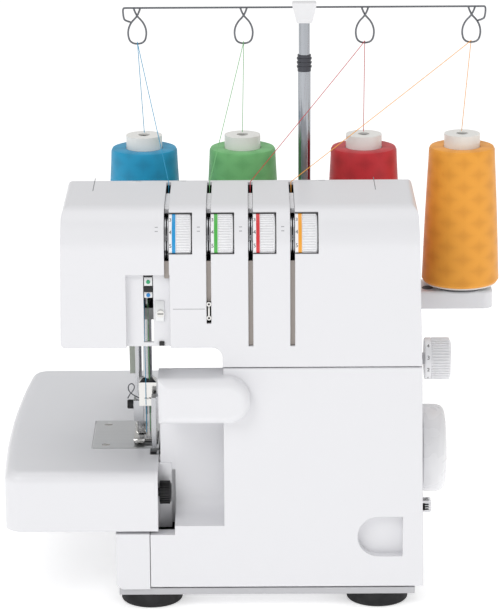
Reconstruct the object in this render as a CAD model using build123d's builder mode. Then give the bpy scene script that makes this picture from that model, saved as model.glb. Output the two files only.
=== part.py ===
from build123d import *
from math import cos, radians, sin
import os

os.makedirs("parts", exist_ok=True)

# Serger (overlock sewing machine). Millimetres; +X right, +Y rear, +Z up.
# The origin is on the table, under the middle of the whole machine.

# ---------------------------------------------------------------- driving dimensions
front_y = -126.5            # front face of the body
base_depth = 266.0          # front face to the rear of the bed
tower_depth = 212.0         # front face to the rear of the tower's deck
top_depth = 112.0           # front face to the rear of the top cover
wall = 2.5                  # moulded wall
gap = 0.5                   # gap between two mouldings

foot_height = 11.0
foot_radius = 23.2
tray_height = 5.0
base_left = -105.9
base_step_z = 60.0          # top of the base under the cloth plate
bed_z = 108.0               # sewing surface
seam_z = 190.0              # seam between the lower and the upper casings
arm_z = 205.5               # underside of the head and the arm
top_z = 307.5
bed_left = -192.0
bed_split = -74.0           # right edge of the cloth plate
tower_left = -25.0
right_foot_x = 124.5        # the right-hand wall leans in as it rises
right_seam_x = 122.3
right_top_x = 118.9
head_left = -144.0
head_left_top = -142.3
top_radius = 27.0           # rounding from the front face to the top

door_depth = 12.0           # depth of the looper cover's rim
door_left = -80.0
hinge_up = 6.5              # hinge pin above the base's lower edge
hinge_in = 5.0
hinge_pin_radius = 1.0
hinge_pin_length = 12.0
guard_proud = 13.0          # how far the finger guard stands out
guard_left = -72.5
guard_right = -4.5
guard_top_z = 184.5
guard_low_z = 149.5
guard_back = 18.0
chute_back = 30.0           # depth of the waste chute
chute_low_z = 59.5
chute_floor_left = -61.5
finger_x = 90.8             # finger recess
finger_z = 57.2
finger_radius = 15.6
finger_depth = 8.0

slot_first_x = -65.3        # thread slots
slot_pitch = 30.7
slot_width = 3.5
slot_low_zs = (258.0, 224.0, 194.5, 194.5)
window_width = 17.1
dial_offset = 5.0           # dial's axis from the centre of the top rounding
dial_tilt = 26.0            # direction of that offset above the horizontal
dial_proud = 0.6
spindle_radius = 3.0
knob_radius = 8.8           # knife release knob
knob_y = front_y + 19.0
knob_z = 86.7
fit = 0.05                  # radial clearance of a running fit

recess_left = -95.3         # recess in the front of the head
recess_right = -63.1
recess_top_z = 261.0
recess_depth = 5.0
channel_width = 7.2
channel_x = -79.0           # middle of the needle bar's channel

needle_x = -82.5
needle_y = front_y + 68.0
needle_bar_radius = 3.4
presser_x = -89.8
presser_y = front_y + 79.0
presser_bar_radius = 2.5
lifter_y = front_y + 104.0
lifter_z = 200.0
clamp_low_z = 141.0
clamp_height = 21.5
needle_length = 28.5
foot_width = 17.5
foot_front = 62.0           # presser foot, from the front face
foot_length = 36.0
foot_sole_z = bed_z + 0.9

plate_left = -125.3         # needle plate
plate_front = 59.0
plate_length = 67.0
plate_thickness = 3.0

shaft_radius = 5.0
shaft_y = front_y + 90.0
shaft_z = 97.0
bush_radius = 8.0
wheel_radius = 33.9
wheel_left = 127.0
wheel_width = 18.3
pulley_x = 94.0
pulley_width = 12.0
shaft_pulley_radius = 30.0
motor_pulley_radius = 7.5
motor_y = front_y + 178.0
motor_z = 66.0
motor_radius = 29.0
belt_thickness = 2.4

stitch_dial_radius = 16.0
stitch_dial_z = 178.2
stitch_dial_y = front_y + 60.0
stitch_dial_left = 127.0
stitch_dial_right = 147.0
dial_shaft_radius = 4.4
lever_z = 64.5
lever_y = front_y + 50.0
lever_shaft_radius = 3.4

stand_x = 38.5              # thread stand
stand_half = 148.0
stand_y = front_y + 175.0
stand_depth = 38.0
stand_low_z = seam_z - gap    # stands on the tower's deck
stand_top_z = 203.5
cone_offsets = (-124.9, -48.2, 46.4, 123.1)
cone_low_radius = 30.4
cone_top_radius = 25.8
cone_low_z = 207.0
cone_top_z = 317.0
cap_radius = 14.0
cap_top_z = 326.5
pin_radius = 4.0
pole_radius = 5.0
tube_radius = 4.35
collar_low_z = 376.5
collar_top_z = 389.5
guide_z = 426.5
guide_half = 140.0
loop_offsets = (-129.0, -46.8, 46.8, 129.0)
loop_height = 28.0
loop_radius = 7.0
wire_radius = 0.9
thread_radius = 0.25

rear_y = front_y + base_depth
base_low_z = foot_height + tray_height
hinge_y = front_y + hinge_in
hinge_z = base_low_z + hinge_up
hinge_xs = (door_left + 6.0, right_foot_x - 26.0)
slot_xs = [slot_first_x + i * slot_pitch for i in range(4)]
round_y = front_y + top_radius      # centre of the top rounding
round_z = top_z - top_radius
dial_y = round_y - dial_offset * cos(radians(dial_tilt))
dial_z = round_z + dial_offset * sin(radians(dial_tilt))
dial_radius = top_radius + dial_proud - dial_offset
colours = ("blue", "green", "red", "orange")


def keep(piece, name):
    """Label a finished piece and write its STEP file."""
    piece.part.label = name
    export_step(piece.part, f"parts/{name}.step")


def right_wall(z):
    """X of the right-hand wall at height z."""
    if z < seam_z:
        share = (z - base_low_z) / (seam_z - base_low_z)
        return right_foot_x + share * (right_seam_x - right_foot_x)
    share = (z - seam_z) / (top_z - seam_z)
    return right_seam_x + share * (right_top_x - right_seam_x)


def front_plane(y):
    """A plane facing the viewer at depth y, with X to the right and Z up."""
    return Plane.XZ.offset(-y)


def block(x, y, z, mode=Mode.ADD):
    """A box from its low and high values on each axis."""
    with Locations(((x[0] + x[1]) / 2, (y[0] + y[1]) / 2, (z[0] + z[1]) / 2)):
        Box(x[1] - x[0], y[1] - y[0], z[1] - z[0], mode=mode)


def rod_x(x, y, z, radius, mode=Mode.ADD):
    """A round bar along X from x[0] to x[1]."""
    with Locations(Location(((x[0] + x[1]) / 2, y, z), (0, 90, 0))):
        Cylinder(radius, x[1] - x[0], mode=mode)


def rod_y(x, y, z, radius, mode=Mode.ADD):
    """A round bar along Y from y[0] to y[1]."""
    with Locations(Location((x, (y[0] + y[1]) / 2, z), (90, 0, 0))):
        Cylinder(radius, y[1] - y[0], mode=mode)


def rod_z(x, y, z, radius, mode=Mode.ADD):
    """A round bar along Z from z[0] to z[1]."""
    with Locations((x, y, (z[0] + z[1]) / 2)):
        Cylinder(radius, z[1] - z[0], mode=mode)


# ---------------------------------------------------------------- base
tray_inset = 2.0
with BuildPart() as base_tray:
    block((base_left + tray_inset, right_foot_x - 3 * tray_inset),
          (front_y + tray_inset, rear_y - tray_inset), (foot_height, base_low_z))
    block((base_left + tray_inset + wall, right_foot_x - 3 * tray_inset - wall),
          (front_y + tray_inset + wall, rear_y - tray_inset - wall),
          (foot_height + wall, base_low_z), mode=Mode.SUBTRACT)
    # hinge lugs for the looper cover
    for x in hinge_xs:
        lug_x = (x + 3.4, x + hinge_pin_length - 3.4)
        rod_x(lug_x, hinge_y, hinge_z, 2.2)
        block(lug_x, (hinge_y, hinge_y + 9), (hinge_z - 2.2, hinge_z + 2.2))
        block(lug_x, (hinge_y + 6.5, hinge_y + 9), (foot_height + 1, hinge_z + 2.2))
    rod_x((base_left, right_foot_x), hinge_y, hinge_z, hinge_pin_radius + fit, mode=Mode.SUBTRACT)
keep(base_tray, "base_tray")

foot_xs = (-80.0, 91.0)
foot_ys = (front_y + 25.0, rear_y - 30.0)
with BuildPart() as rubber_feet:
    for x in foot_xs:
        for y in foot_ys:
            rod_z(x, y, (0, foot_height), foot_radius)
    fillet(rubber_feet.edges().filter_by(GeomType.CIRCLE).group_by(Axis.Z)[0], 2.0)
keep(rubber_feet, "rubber_feet")


# ---------------------------------------------------------------- lower housing
def inset_face(points, inset):
    """A flat face with these corners, moved in by inset."""
    with BuildSketch() as face:
        with BuildLine():
            Polyline(*points, close=True)
        make_face()
        if inset:
            offset(amount=-inset, kind=Kind.INTERSECTION, mode=Mode.REPLACE)
    return face.sketch


housing_front = (
    (base_left, base_low_z), (right_foot_x, base_low_z), (right_seam_x, seam_z - gap),
    (tower_left, seam_z - gap), (tower_left, bed_z), (bed_split + gap, bed_z),
    (bed_split + gap, base_step_z), (base_left, base_step_z),
)
housing_side = (
    (front_y, base_low_z), (rear_y, base_low_z), (rear_y, bed_z),
    (front_y + tower_depth, seam_z - gap), (front_y, seam_z - gap),
)
housing_span = 400.0        # longer than the housing on every axis
with BuildPart() as housing_core:
    with BuildSketch(front_plane(-housing_span / 2)):
        add(inset_face(housing_front, wall))
    extrude(amount=-housing_span)
    with BuildSketch(Plane.YZ.offset(-housing_span / 2)):
        add(inset_face(housing_side, wall))
    extrude(amount=housing_span, mode=Mode.INTERSECT)

wing_back = front_y + chute_back + wall + 1.0   # room for the chute behind the cover
bed_front_wall = (wing_back, wing_back + wall)
free_arm_y = (front_y + 46.0, front_y + 146.0)
free_arm_z = (base_step_z + 1.0, bed_z - plate_thickness)
with BuildPart() as lower_housing:
    with BuildSketch(front_plane(-housing_span / 2)):
        add(inset_face(housing_front, 0))
    extrude(amount=-housing_span)
    with BuildSketch(Plane.YZ.offset(-housing_span / 2)):
        add(inset_face(housing_side, 0))
    extrude(amount=housing_span, mode=Mode.INTERSECT)
    rear_edges = lower_housing.edges().filter_by_position(Axis.Y, rear_y - 1, rear_y + 1)
    fillet(rear_edges.filter_by(Axis.Z), 8.0)
    fillet(lower_housing.edges().filter_by(Axis.Y).group_by(Axis.X)[0].group_by(Axis.Z)[0], 6.0)
    add(housing_core.part, mode=Mode.SUBTRACT)
    # the bottom is open for the tray, and the front for the looper cover
    block((base_left + wall, right_foot_x - 2 * wall), (front_y + wall, rear_y - wall),
          (base_low_z - 1, base_low_z + wall + 1), mode=Mode.SUBTRACT)
    block((door_left - gap, right_foot_x + 1), (front_y - 1, front_y + door_depth + gap),
          (base_low_z - 1, seam_z), mode=Mode.SUBTRACT)
    block((door_left - gap, tower_left + 4 * gap + wall), (front_y - 1, wing_back),
          (base_step_z - wall - 1, seam_z), mode=Mode.SUBTRACT)
    block((bed_split + gap, tower_left + wall), bed_front_wall, (base_step_z - wall, bed_z - wall))
    # the tower's deck is open under the top cover
    block((tower_left + wall, right_seam_x - wall), (front_y + wall, front_y + top_depth - wall),
          (seam_z - 2 * wall, seam_z), mode=Mode.SUBTRACT)
    # passages for the free arm, the knife arm, the shaft and the two controls
    block((bed_split - 1, bed_split + 2 * wall), (free_arm_y[0] - 1, free_arm_y[1] + 1),
          (free_arm_z[0] - 1, bed_z + 1), mode=Mode.SUBTRACT)
    block((tower_left - 1, tower_left + 2 * wall), (front_y + 44, front_y + 64), (128, 168),
          mode=Mode.SUBTRACT)
    rod_x((right_seam_x - 9, right_foot_x + 1), shaft_y, shaft_z, shaft_radius + 1, mode=Mode.SUBTRACT)
    rod_x((right_seam_x - 9, right_foot_x + 1), stitch_dial_y, stitch_dial_z, dial_shaft_radius + fit,
          mode=Mode.SUBTRACT)
    rod_x((right_seam_x - 9, right_foot_x + 1), lever_y, lever_z, lever_shaft_radius + fit,
          mode=Mode.SUBTRACT)
    # rear cut-outs for the power inlet and the switch
    block((70, 98), (rear_y - wall - 1, rear_y + 1), (32, 52), mode=Mode.SUBTRACT)
    block((40, 60), (rear_y - wall - 1, rear_y + 1), (32, 52), mode=Mode.SUBTRACT)
keep(lower_housing, "lower_housing")

# ---------------------------------------------------------------- looper cover
door_low_z = base_low_z + 0.8
door_front = (
    (door_left, door_low_z), (right_foot_x, door_low_z), (right_seam_x, seam_z - gap),
    (tower_left + gap, seam_z - gap), (tower_left + gap, chute_low_z), (door_left, chute_low_z),
)
with BuildPart() as guard_core:
    with BuildSketch(front_plane(front_y - guard_proud + wall)):
        with Locations(((guard_left + guard_right) / 2, (guard_top_z + guard_low_z) / 2)):
            SlotOverall(guard_right - guard_left - 2 * wall, guard_top_z - guard_low_z - 2 * wall)
            with Locations((-(guard_right - guard_left) / 4, 0)):
                Rectangle((guard_right - guard_left) / 2 - 2 * wall, guard_top_z - guard_low_z - 2 * wall)
    extrude(amount=-(guard_proud + wall))
    block((guard_left + wall, tower_left), (front_y - wall, front_y + guard_back - wall),
          (guard_low_z + wall, guard_top_z - wall))

with BuildPart() as looper_cover:
    # shallow tray: the face and its rim
    with BuildSketch(front_plane(front_y)):
        add(inset_face(door_front, 0))
    extrude(amount=-door_depth)
    front_edges = looper_cover.edges().filter_by_position(Axis.Y, front_y - 0.1, front_y + 0.1)
    fillet(front_edges.filter_by(Axis.X).group_by(Axis.Z)[-1], 1.0)
    fillet(front_edges.filter_by(Axis.X).group_by(Axis.Z)[0], 3.0)
    with BuildSketch(front_plane(front_y + wall)):
        add(inset_face(door_front, wall))
    extrude(amount=-door_depth, mode=Mode.SUBTRACT)
    # the rim is cut back below the hinge, and ears carry the hinge pins
    block((door_left - 1, right_foot_x + 1), (front_y + 9.5, front_y + door_depth + 1),
          (base_low_z, hinge_z), mode=Mode.SUBTRACT)
    for x in hinge_xs:
        block((x, x + hinge_pin_length), (front_y + wall / 2, hinge_y + 2), (hinge_z - 2, hinge_z + 2))
        block((x + 3, x + hinge_pin_length - 3), (front_y + wall, front_y + door_depth),
              (base_low_z, hinge_z + 3), mode=Mode.SUBTRACT)
        rod_x((x - 1, x + hinge_pin_length + 1), hinge_y, hinge_z, hinge_pin_radius, mode=Mode.SUBTRACT)
    # finger guard, hollow from behind
    with BuildSketch(front_plane(front_y - guard_proud)):
        with Locations(((guard_left + guard_right) / 2, (guard_top_z + guard_low_z) / 2)):
            SlotOverall(guard_right - guard_left, guard_top_z - guard_low_z)
            with Locations((-(guard_right - guard_left) / 4, 0)):
                Rectangle((guard_right - guard_left) / 2, guard_top_z - guard_low_z)
    extrude(amount=-(guard_proud + wall / 2))
    block((guard_left, tower_left + gap), (front_y, front_y + guard_back), (guard_low_z, guard_top_z))
    guard_front = looper_cover.faces().sort_by(Axis.Y)[0]
    fillet(guard_front.edges(), 7.0)
    add(guard_core.part, mode=Mode.SUBTRACT)
    # waste chute: right wall, back wall, sloping floor and the shelf under the guard
    block((tower_left + gap, tower_left + gap + wall), (front_y + wall, front_y + chute_back + wall),
          (chute_low_z, guard_low_z + wall))
    block((guard_left, tower_left + gap + wall), (front_y + chute_back, front_y + chute_back + wall),
          (chute_low_z, guard_low_z + wall))
    block((guard_left, tower_left + gap + wall),
          (front_y + guard_back - wall, front_y + chute_back + wall), (guard_low_z, guard_low_z + wall))
    with BuildSketch(Plane.YZ.offset(chute_floor_left)):
        with BuildLine():
            lip = Line((front_y, chute_low_z), (front_y, chute_low_z + 7))
            slope = Line(lip @ 1, (front_y + chute_back - 12, chute_low_z + 9.5))
            rise = TangentArc(slope @ 1, (front_y + chute_back, chute_low_z + 24), tangent=slope % 1)
            Polyline(rise @ 1, (front_y + chute_back + wall, chute_low_z + 24),
                     (front_y + chute_back + wall, chute_low_z), lip @ 0)
        make_face()
    extrude(amount=tower_left + gap - chute_floor_left)
    # room around the knife knob
    block((guard_left - 1, chute_floor_left), (front_y + chute_back - 1, front_y + chute_back + wall + 1),
          (chute_low_z - 1, 101), mode=Mode.SUBTRACT)
    # finger recess: a round-ended pocket with a straight right side
    for inset, last in ((0.0, Mode.ADD), (wall, Mode.SUBTRACT)):
        start = front_y + wall / 2 if last == Mode.ADD else front_y - 1
        end = front_y + finger_depth + wall - inset
        with BuildSketch(front_plane(start)):
            with Locations((finger_x, finger_z)):
                Circle(finger_radius + wall - inset)
            with Locations((finger_x + finger_radius / 2 + wall / 2, finger_z)):
                Rectangle(finger_radius + 3 * wall - 2 * inset, 2 * (finger_radius + wall - inset))
        extrude(amount=-(end - start), mode=last)
keep(looper_cover, "looper_cover")

# ---------------------------------------------------------------- top cover
cover_rear = front_y + top_depth
cover_front = (
    (tower_left, seam_z + gap), (right_wall(seam_z + gap), seam_z + gap), (right_top_x, top_z),
    (head_left_top, top_z), (head_left, arm_z), (tower_left, arm_z),
)
throat_radius = 8.0         # under the arm, beside the tower
side_radius = 6.0           # top corners seen from the front
head_radius = 4.0           # lower left corner of the head
back_radius = 12.0


def cover_outline(inset):
    """The cover seen from the front, moved in by inset."""
    with BuildSketch() as outline:
        with BuildLine():
            Polyline(*cover_front, close=True)
        make_face()
        fillet(outline.vertices().group_by(Axis.Y)[-1], side_radius)
        fillet(outline.vertices().sort_by_distance((head_left, arm_z))[0], head_radius)
        fillet(outline.vertices().sort_by_distance((tower_left, arm_z))[0], throat_radius)
        if inset:
            offset(amount=-inset, kind=Kind.INTERSECTION, mode=Mode.REPLACE)
    return outline.sketch


def cover_profile(inset):
    """The cover seen from the side, moved in by inset."""
    with BuildSketch() as profile:
        with Locations(((front_y + cover_rear) / 2, (seam_z + gap + top_z) / 2)):
            Rectangle(top_depth - 2 * inset, top_z - seam_z - gap - 2 * inset)
        crown = profile.vertices().group_by(Axis.Y)[-1].sort_by(Axis.X)
        fillet(crown[0], top_radius - inset)
        fillet(profile.vertices().group_by(Axis.Y)[-1].sort_by(Axis.X)[-1], back_radius - inset)
    return profile.sketch


with BuildPart() as cover_core:
    with BuildSketch(front_plane(front_y - 1)):
        add(cover_outline(wall))
    extrude(amount=-(top_depth + 2))
    with BuildSketch(Plane.YZ.offset(head_left - 1)):
        add(cover_profile(wall))
    extrude(amount=right_foot_x - head_left + 2, mode=Mode.INTERSECT)
    # open below the tower and where the bars come down
    block((tower_left + wall, right_seam_x - wall), (front_y + wall, cover_rear - wall),
          (seam_z - 1, seam_z + 2 * wall))
    block((-101, recess_right - 1), (front_y + recess_depth + wall, front_y + 108), (arm_z - 1, arm_z + 2 * wall))

with BuildPart() as top_cover:
    with BuildSketch(front_plane(front_y - 1)):
        add(cover_outline(0))
    extrude(amount=-(top_depth + 2))
    with BuildSketch(Plane.YZ.offset(head_left - 1)):
        add(cover_profile(0))
    extrude(amount=right_foot_x - head_left + 2, mode=Mode.INTERSECT)
    add(cover_core.part, mode=Mode.SUBTRACT)
    # recess in the head with the needle bar's channel
    block((recess_left, recess_right), (front_y - 1, front_y + wall + 1), (arm_z - 1, recess_top_z),
          mode=Mode.SUBTRACT)
    block((recess_left - wall, recess_right + wall), (front_y + wall / 2, front_y + recess_depth + wall),
          (arm_z, recess_top_z + wall))
    block((recess_left, recess_right), (front_y - 1, front_y + recess_depth), (arm_z - 1, recess_top_z),
          mode=Mode.SUBTRACT)
    block((channel_x - channel_width / 2, channel_x + channel_width / 2),
          (front_y - 1, front_y + recess_depth + wall + 1), (arm_z + 3, recess_top_z - 3), mode=Mode.SUBTRACT)
    # thread slots from the rear of the top down the front, and the dial windows beside them
    for x, low in zip(slot_xs, slot_low_zs):
        block((x - slot_width / 2, x + slot_width / 2), (front_y - 1, front_y + 96),
              (max(low, arm_z + 1), top_z + 1), mode=Mode.SUBTRACT)
    for x in slot_xs:
        reach = top_radius + 5
        with BuildSketch(Plane.YZ.offset(x)):
            with BuildLine():
                low = (round_y - reach * cos(radians(8)), round_z - reach * sin(radians(8)))
                high = (round_y - reach * cos(radians(60)), round_z + reach * sin(radians(60)))
                Polyline((round_y, round_z), low, high, close=True)
            make_face()
        extrude(amount=slot_width / 2 + window_width, mode=Mode.SUBTRACT)
        rod_x((x, x + slot_width / 2 + window_width), dial_y, dial_z, dial_radius + gap, mode=Mode.SUBTRACT)
keep(top_cover, "top_cover")

# ---------------------------------------------------------------- thread channels behind the slots
channel_side = 1.2
channel_floor_z = 294.0
with BuildPart() as thread_channels:
    for x, low in zip(slot_xs, slot_low_zs):
        outer = (x - slot_width / 2 - channel_side, x + slot_width / 2 + channel_side)
        inner = (x - slot_width / 2, x + slot_width / 2)
        bottom = max(low - 2, arm_z + wall + 1) if x < tower_left + 5 else low - 2
        if bottom < 250:
            block(outer, (front_y + wall, front_y + 18), (bottom, 250))
            block(inner, (front_y + wall - 1, front_y + 16), (bottom + 1, 251), mode=Mode.SUBTRACT)
        block(outer, (front_y + 50, front_y + 98), (channel_floor_z - 2, top_z - wall))
        block(inner, (front_y + 49, front_y + 96.5), (channel_floor_z, top_z), mode=Mode.SUBTRACT)
keep(thread_channels, "thread_channels")

# ---------------------------------------------------------------- tension units
dial_width = window_width - 0.8
with BuildPart() as tension_spindle:
    rod_x((slot_xs[0] - 6, slot_xs[3] + window_width + 8), dial_y, dial_z, spindle_radius)
keep(tension_spindle, "tension_spindle")

bracket_z = 252.0
with BuildPart() as tension_bracket:
    bracket_x = (slot_xs[0] - 5, slot_xs[3] + window_width + 7)
    block(bracket_x, (front_y + 12, front_y + 96), (bracket_z, bracket_z + 2))
    for x in (bracket_x[0], bracket_x[1] - 2):
        block((x, x + 2), (front_y + 12, front_y + 36), (bracket_z, dial_z + 7))
    rod_x((bracket_x[0] - 1, bracket_x[1] + 1), dial_y, dial_z, spindle_radius + fit, mode=Mode.SUBTRACT)
keep(tension_bracket, "tension_bracket")

disc_radius = 16.0
with BuildPart() as tension_discs:
    for x in slot_xs:
        for side in (-1, 1):
            centre = x + side * 0.9
            rod_x((centre - 0.4, centre + 0.4), dial_y, dial_z, disc_radius)
    rod_x((slot_xs[0] - 6, slot_xs[3] + 6), dial_y, dial_z, spindle_radius + fit, mode=Mode.SUBTRACT)
keep(tension_discs, "tension_discs")

for x, colour in zip(slot_xs, colours):
    left = x + slot_width / 2
    with BuildPart() as dial:
        rod_x((left, left + dial_width), dial_y, dial_z, dial_radius)
        fillet(dial.edges().filter_by(GeomType.CIRCLE), 0.8)
        rod_x((left + 2, left + dial_width + 1), dial_y, dial_z, dial_radius - 3, mode=Mode.SUBTRACT)
        rod_x((left, left + dial_width), dial_y, dial_z, 2 * spindle_radius)
        rod_x((left - 1, left + dial_width + 1), dial_y, dial_z, spindle_radius + fit, mode=Mode.SUBTRACT)
    keep(dial, f"tension_dial_{colour}")

# ---------------------------------------------------------------- main frame
bar_guide_zs = ((210.0, 219.0), (268.0, 276.0))
plate_x = (plate_left, bed_split - gap)
plate_y = (front_y + plate_front, front_y + plate_front + plate_length)
moving_knife_x = (-79.4, -76.0)
knife_seat_z = 88.0
post_x = (-16.0, -7.0)
with BuildPart() as main_frame:
    block((-92, 112), (front_y + 40, front_y + 236), (26, 31))
    for x in (-80, 96):
        for y in (front_y + 50, front_y + 226):
            rod_z(x, y, (foot_height + wall, 27), 6)
    block(post_x, (front_y + 58, front_y + 150), (26, bracket_z))          # column
    block((68, 77), (front_y + 66, front_y + 118), (26, 128))              # outer bearing plate
    block((-101, post_x[0] + 1), (front_y + 88, front_y + 101), (224, bracket_z))     # arm
    block((-101, -72), (front_y + 88, front_y + 101), (bar_guide_zs[0][0], bar_guide_zs[1][1]))
    for z in bar_guide_zs:
        block((-99, -75), (front_y + 60, front_y + 90), z)
    # free arm: an open trough under the needle plate
    block((plate_left + 1, post_x[0] + 1), free_arm_y, free_arm_z)
    block((plate_left + 4, bed_split + 2), (free_arm_y[0] + 3, free_arm_y[1] - 3),
          (free_arm_z[0] + 3, free_arm_z[1] - 3), mode=Mode.SUBTRACT)
    block((bed_split + 1, post_x[0]), (free_arm_y[0] - 1, free_arm_y[1] - 3),
          (free_arm_z[0] + 3, bed_z), mode=Mode.SUBTRACT)
    block((plate_left + 5, bed_split + 2), (plate_y[0] + 5, plate_y[1] - 5), (free_arm_z[1] - 4, bed_z),
          mode=Mode.SUBTRACT)
    block((moving_knife_x[0] - 1, bed_split + 2), (free_arm_y[0] - 1, plate_y[0] + 1),
          (knife_seat_z, bed_z), mode=Mode.SUBTRACT)
    block((post_x[0] - 1, post_x[1] + 1), (cover_rear - wall - gap, front_y + tower_depth),
          (seam_z - 2 * gap - wall, top_z), mode=Mode.SUBTRACT)
    block((-46, -30), free_arm_y, (26, free_arm_z[0] + 2))                 # leg of the free arm
    block((-86, -76), (front_y + 14, free_arm_y[0] + 1), (76, 96))         # knife carrier
    rod_x((-87, -75), knob_y, knob_z, spindle_radius + fit, mode=Mode.SUBTRACT)
    rod_z(needle_x, needle_y, (200, 300), needle_bar_radius + fit, mode=Mode.SUBTRACT)
    rod_z(presser_x, presser_y, (200, 300), presser_bar_radius + fit, mode=Mode.SUBTRACT)
    rod_x((post_x[0] - 1, post_x[1] + 1), shaft_y, shaft_z, bush_radius, mode=Mode.SUBTRACT)
    rod_x((67, 78), shaft_y, shaft_z, bush_radius, mode=Mode.SUBTRACT)
    # lug for the presser lifter's pin
    block((-92.4, -86), (front_y + 98, front_y + 107.5), (195, 222))
    rod_x((-93, -85), lifter_y, lifter_z, 2 + fit, mode=Mode.SUBTRACT)
keep(main_frame, "main_frame")

# ---------------------------------------------------------------- drive
with BuildPart() as shaft_bushes:
    for x in (post_x, (68.0, 77.0)):
        rod_x(x, shaft_y, shaft_z, bush_radius)
        rod_x((x[0] - 1, x[1] + 1), shaft_y, shaft_z, shaft_radius + fit, mode=Mode.SUBTRACT)
keep(shaft_bushes, "shaft_bushes")

with BuildPart() as main_shaft:
    rod_x((post_x[0] - 4, wheel_left + 2), shaft_y, shaft_z, shaft_radius)
    rod_x((pulley_x, pulley_x + pulley_width), shaft_y, shaft_z, shaft_pulley_radius)
    for x in (pulley_x, pulley_x + pulley_width - 1.5):
        rod_x((x, x + 1.5), shaft_y, shaft_z, shaft_pulley_radius + 3)
    rod_x((post_x[0] - 3, post_x[0] - 0.5), shaft_y, shaft_z, shaft_radius + 2)
keep(main_shaft, "main_shaft")

with BuildPart() as handwheel:
    rod_x((wheel_left, wheel_left + wheel_width), shaft_y, shaft_z, wheel_radius)
    fillet(handwheel.edges().filter_by(GeomType.CIRCLE).sort_by(Axis.X)[-1], 5.0)
    fillet(handwheel.edges().filter_by(GeomType.CIRCLE).sort_by(Axis.X)[0], 1.5)
    rod_x((wheel_left + wheel_width - 3, wheel_left + wheel_width + 1), shaft_y, shaft_z,
          wheel_radius - 9, mode=Mode.SUBTRACT)
    rod_x((wheel_left - 1, wheel_left + 2), shaft_y, shaft_z, shaft_radius, mode=Mode.SUBTRACT)
keep(handwheel, "handwheel")

motor_x = (12.0, 84.0)
with BuildPart() as motor:
    rod_x(motor_x, motor_y, motor_z, motor_radius)
    fillet(motor.edges().filter_by(GeomType.CIRCLE), 4.0)
    for x in (motor_x[0] + 10, motor_x[1] - 18):
        block((x, x + 8), (motor_y - 20, motor_y + 20), (31, motor_z - 15))
keep(motor, "motor")

with BuildPart() as motor_pulley:
    rod_x((motor_x[1] + 0.3, pulley_x + pulley_width), motor_y, motor_z, 3)
    rod_x((pulley_x, pulley_x + pulley_width), motor_y, motor_z, motor_pulley_radius)
    for x in (pulley_x, pulley_x + pulley_width - 1.5):
        rod_x((x, x + 1.5), motor_y, motor_z, motor_pulley_radius + 2.6)
keep(motor_pulley, "motor_pulley")

belt_gap = 0.15
belt_x = (pulley_x + 2.5, pulley_x + pulley_width - 2.5)
with BuildPart() as drive_belt:
    for extra, how in ((belt_gap + belt_thickness, Mode.ADD), (belt_gap, Mode.SUBTRACT)):
        start = belt_x[0] - (1 if how == Mode.SUBTRACT else 0)
        with BuildSketch(Plane.YZ.offset(start)):
            with Locations((shaft_y, shaft_z)):
                Circle(shaft_pulley_radius + extra)
            with Locations((motor_y, motor_z)):
                Circle(motor_pulley_radius + extra)
            make_hull()
        extrude(amount=belt_x[1] - start + (1 if how == Mode.SUBTRACT else 0), mode=how)
keep(drive_belt, "drive_belt")

# ---------------------------------------------------------------- needle bar
clamp_top_z = clamp_low_z + clamp_height
clamp_half = (6.6, 6.0)     # half width and half depth of the needle clamp
needle_spots = ((needle_x - 1.4, needle_y - 1.2), (needle_x + 1.4, needle_y + 1.2))
needle_radius = 0.9
with BuildPart() as needle_bar:
    rod_z(needle_x, needle_y, (clamp_top_z - 6, 292), needle_bar_radius)
keep(needle_bar, "needle_bar")

with BuildPart() as needle_clamp:
    block((needle_x - clamp_half[0], needle_x + clamp_half[0]),
          (needle_y - clamp_half[1], needle_y + clamp_half[1]), (clamp_low_z, clamp_top_z))
    chamfer(needle_clamp.edges().group_by(Axis.Z)[-1], 3.0)
    rod_z(needle_x, needle_y, (clamp_top_z - 6, clamp_top_z + 1), needle_bar_radius, mode=Mode.SUBTRACT)
    for x, y in needle_spots:
        rod_z(x, y, (clamp_low_z - 1, clamp_low_z + 9), needle_radius, mode=Mode.SUBTRACT)
keep(needle_clamp, "needle_clamp")

with BuildPart() as needles:
    for x, y in needle_spots:
        rod_z(x, y, (clamp_low_z - 8, clamp_low_z + 9), needle_radius)
        rod_z(x, y, (clamp_low_z - needle_length + 5, clamp_low_z - 8), 0.5)
        with Locations((x, y, clamp_low_z - needle_length + 2.5)):
            Cone(0.08, 0.5, 5)
keep(needles, "needles")

with BuildPart() as clamp_screws:
    for x, _ in needle_spots:
        rod_y(x, (needle_y - clamp_half[1] - 1.6, needle_y - clamp_half[1]), clamp_low_z + 5, 1.3)
keep(clamp_screws, "clamp_screws")

# ---------------------------------------------------------------- presser foot
ankle_z = (125.0, 141.0)
collar_z = (228.0, 232.0)
with BuildPart() as presser_bar:
    rod_z(presser_x, presser_y, (ankle_z[1] - 8, 296), presser_bar_radius)
    rod_z(presser_x, presser_y, collar_z, presser_bar_radius + 2.6)        # spring collar
keep(presser_bar, "presser_bar")

spring_radius = 4.2
spring_z = (collar_z[1] + 0.8, bar_guide_zs[1][0] - 0.8)
with BuildPart() as presser_spring:
    with BuildLine():
        Helix(4.5, spring_z[1] - spring_z[0], spring_radius, center=(presser_x, presser_y, spring_z[0]))
    with BuildSketch(Plane(origin=(presser_x + spring_radius, presser_y, spring_z[0]), z_dir=(0, 1, 0.17))):
        Circle(0.5)
    sweep(is_frenet=True)
keep(presser_spring, "presser_spring")

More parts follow.
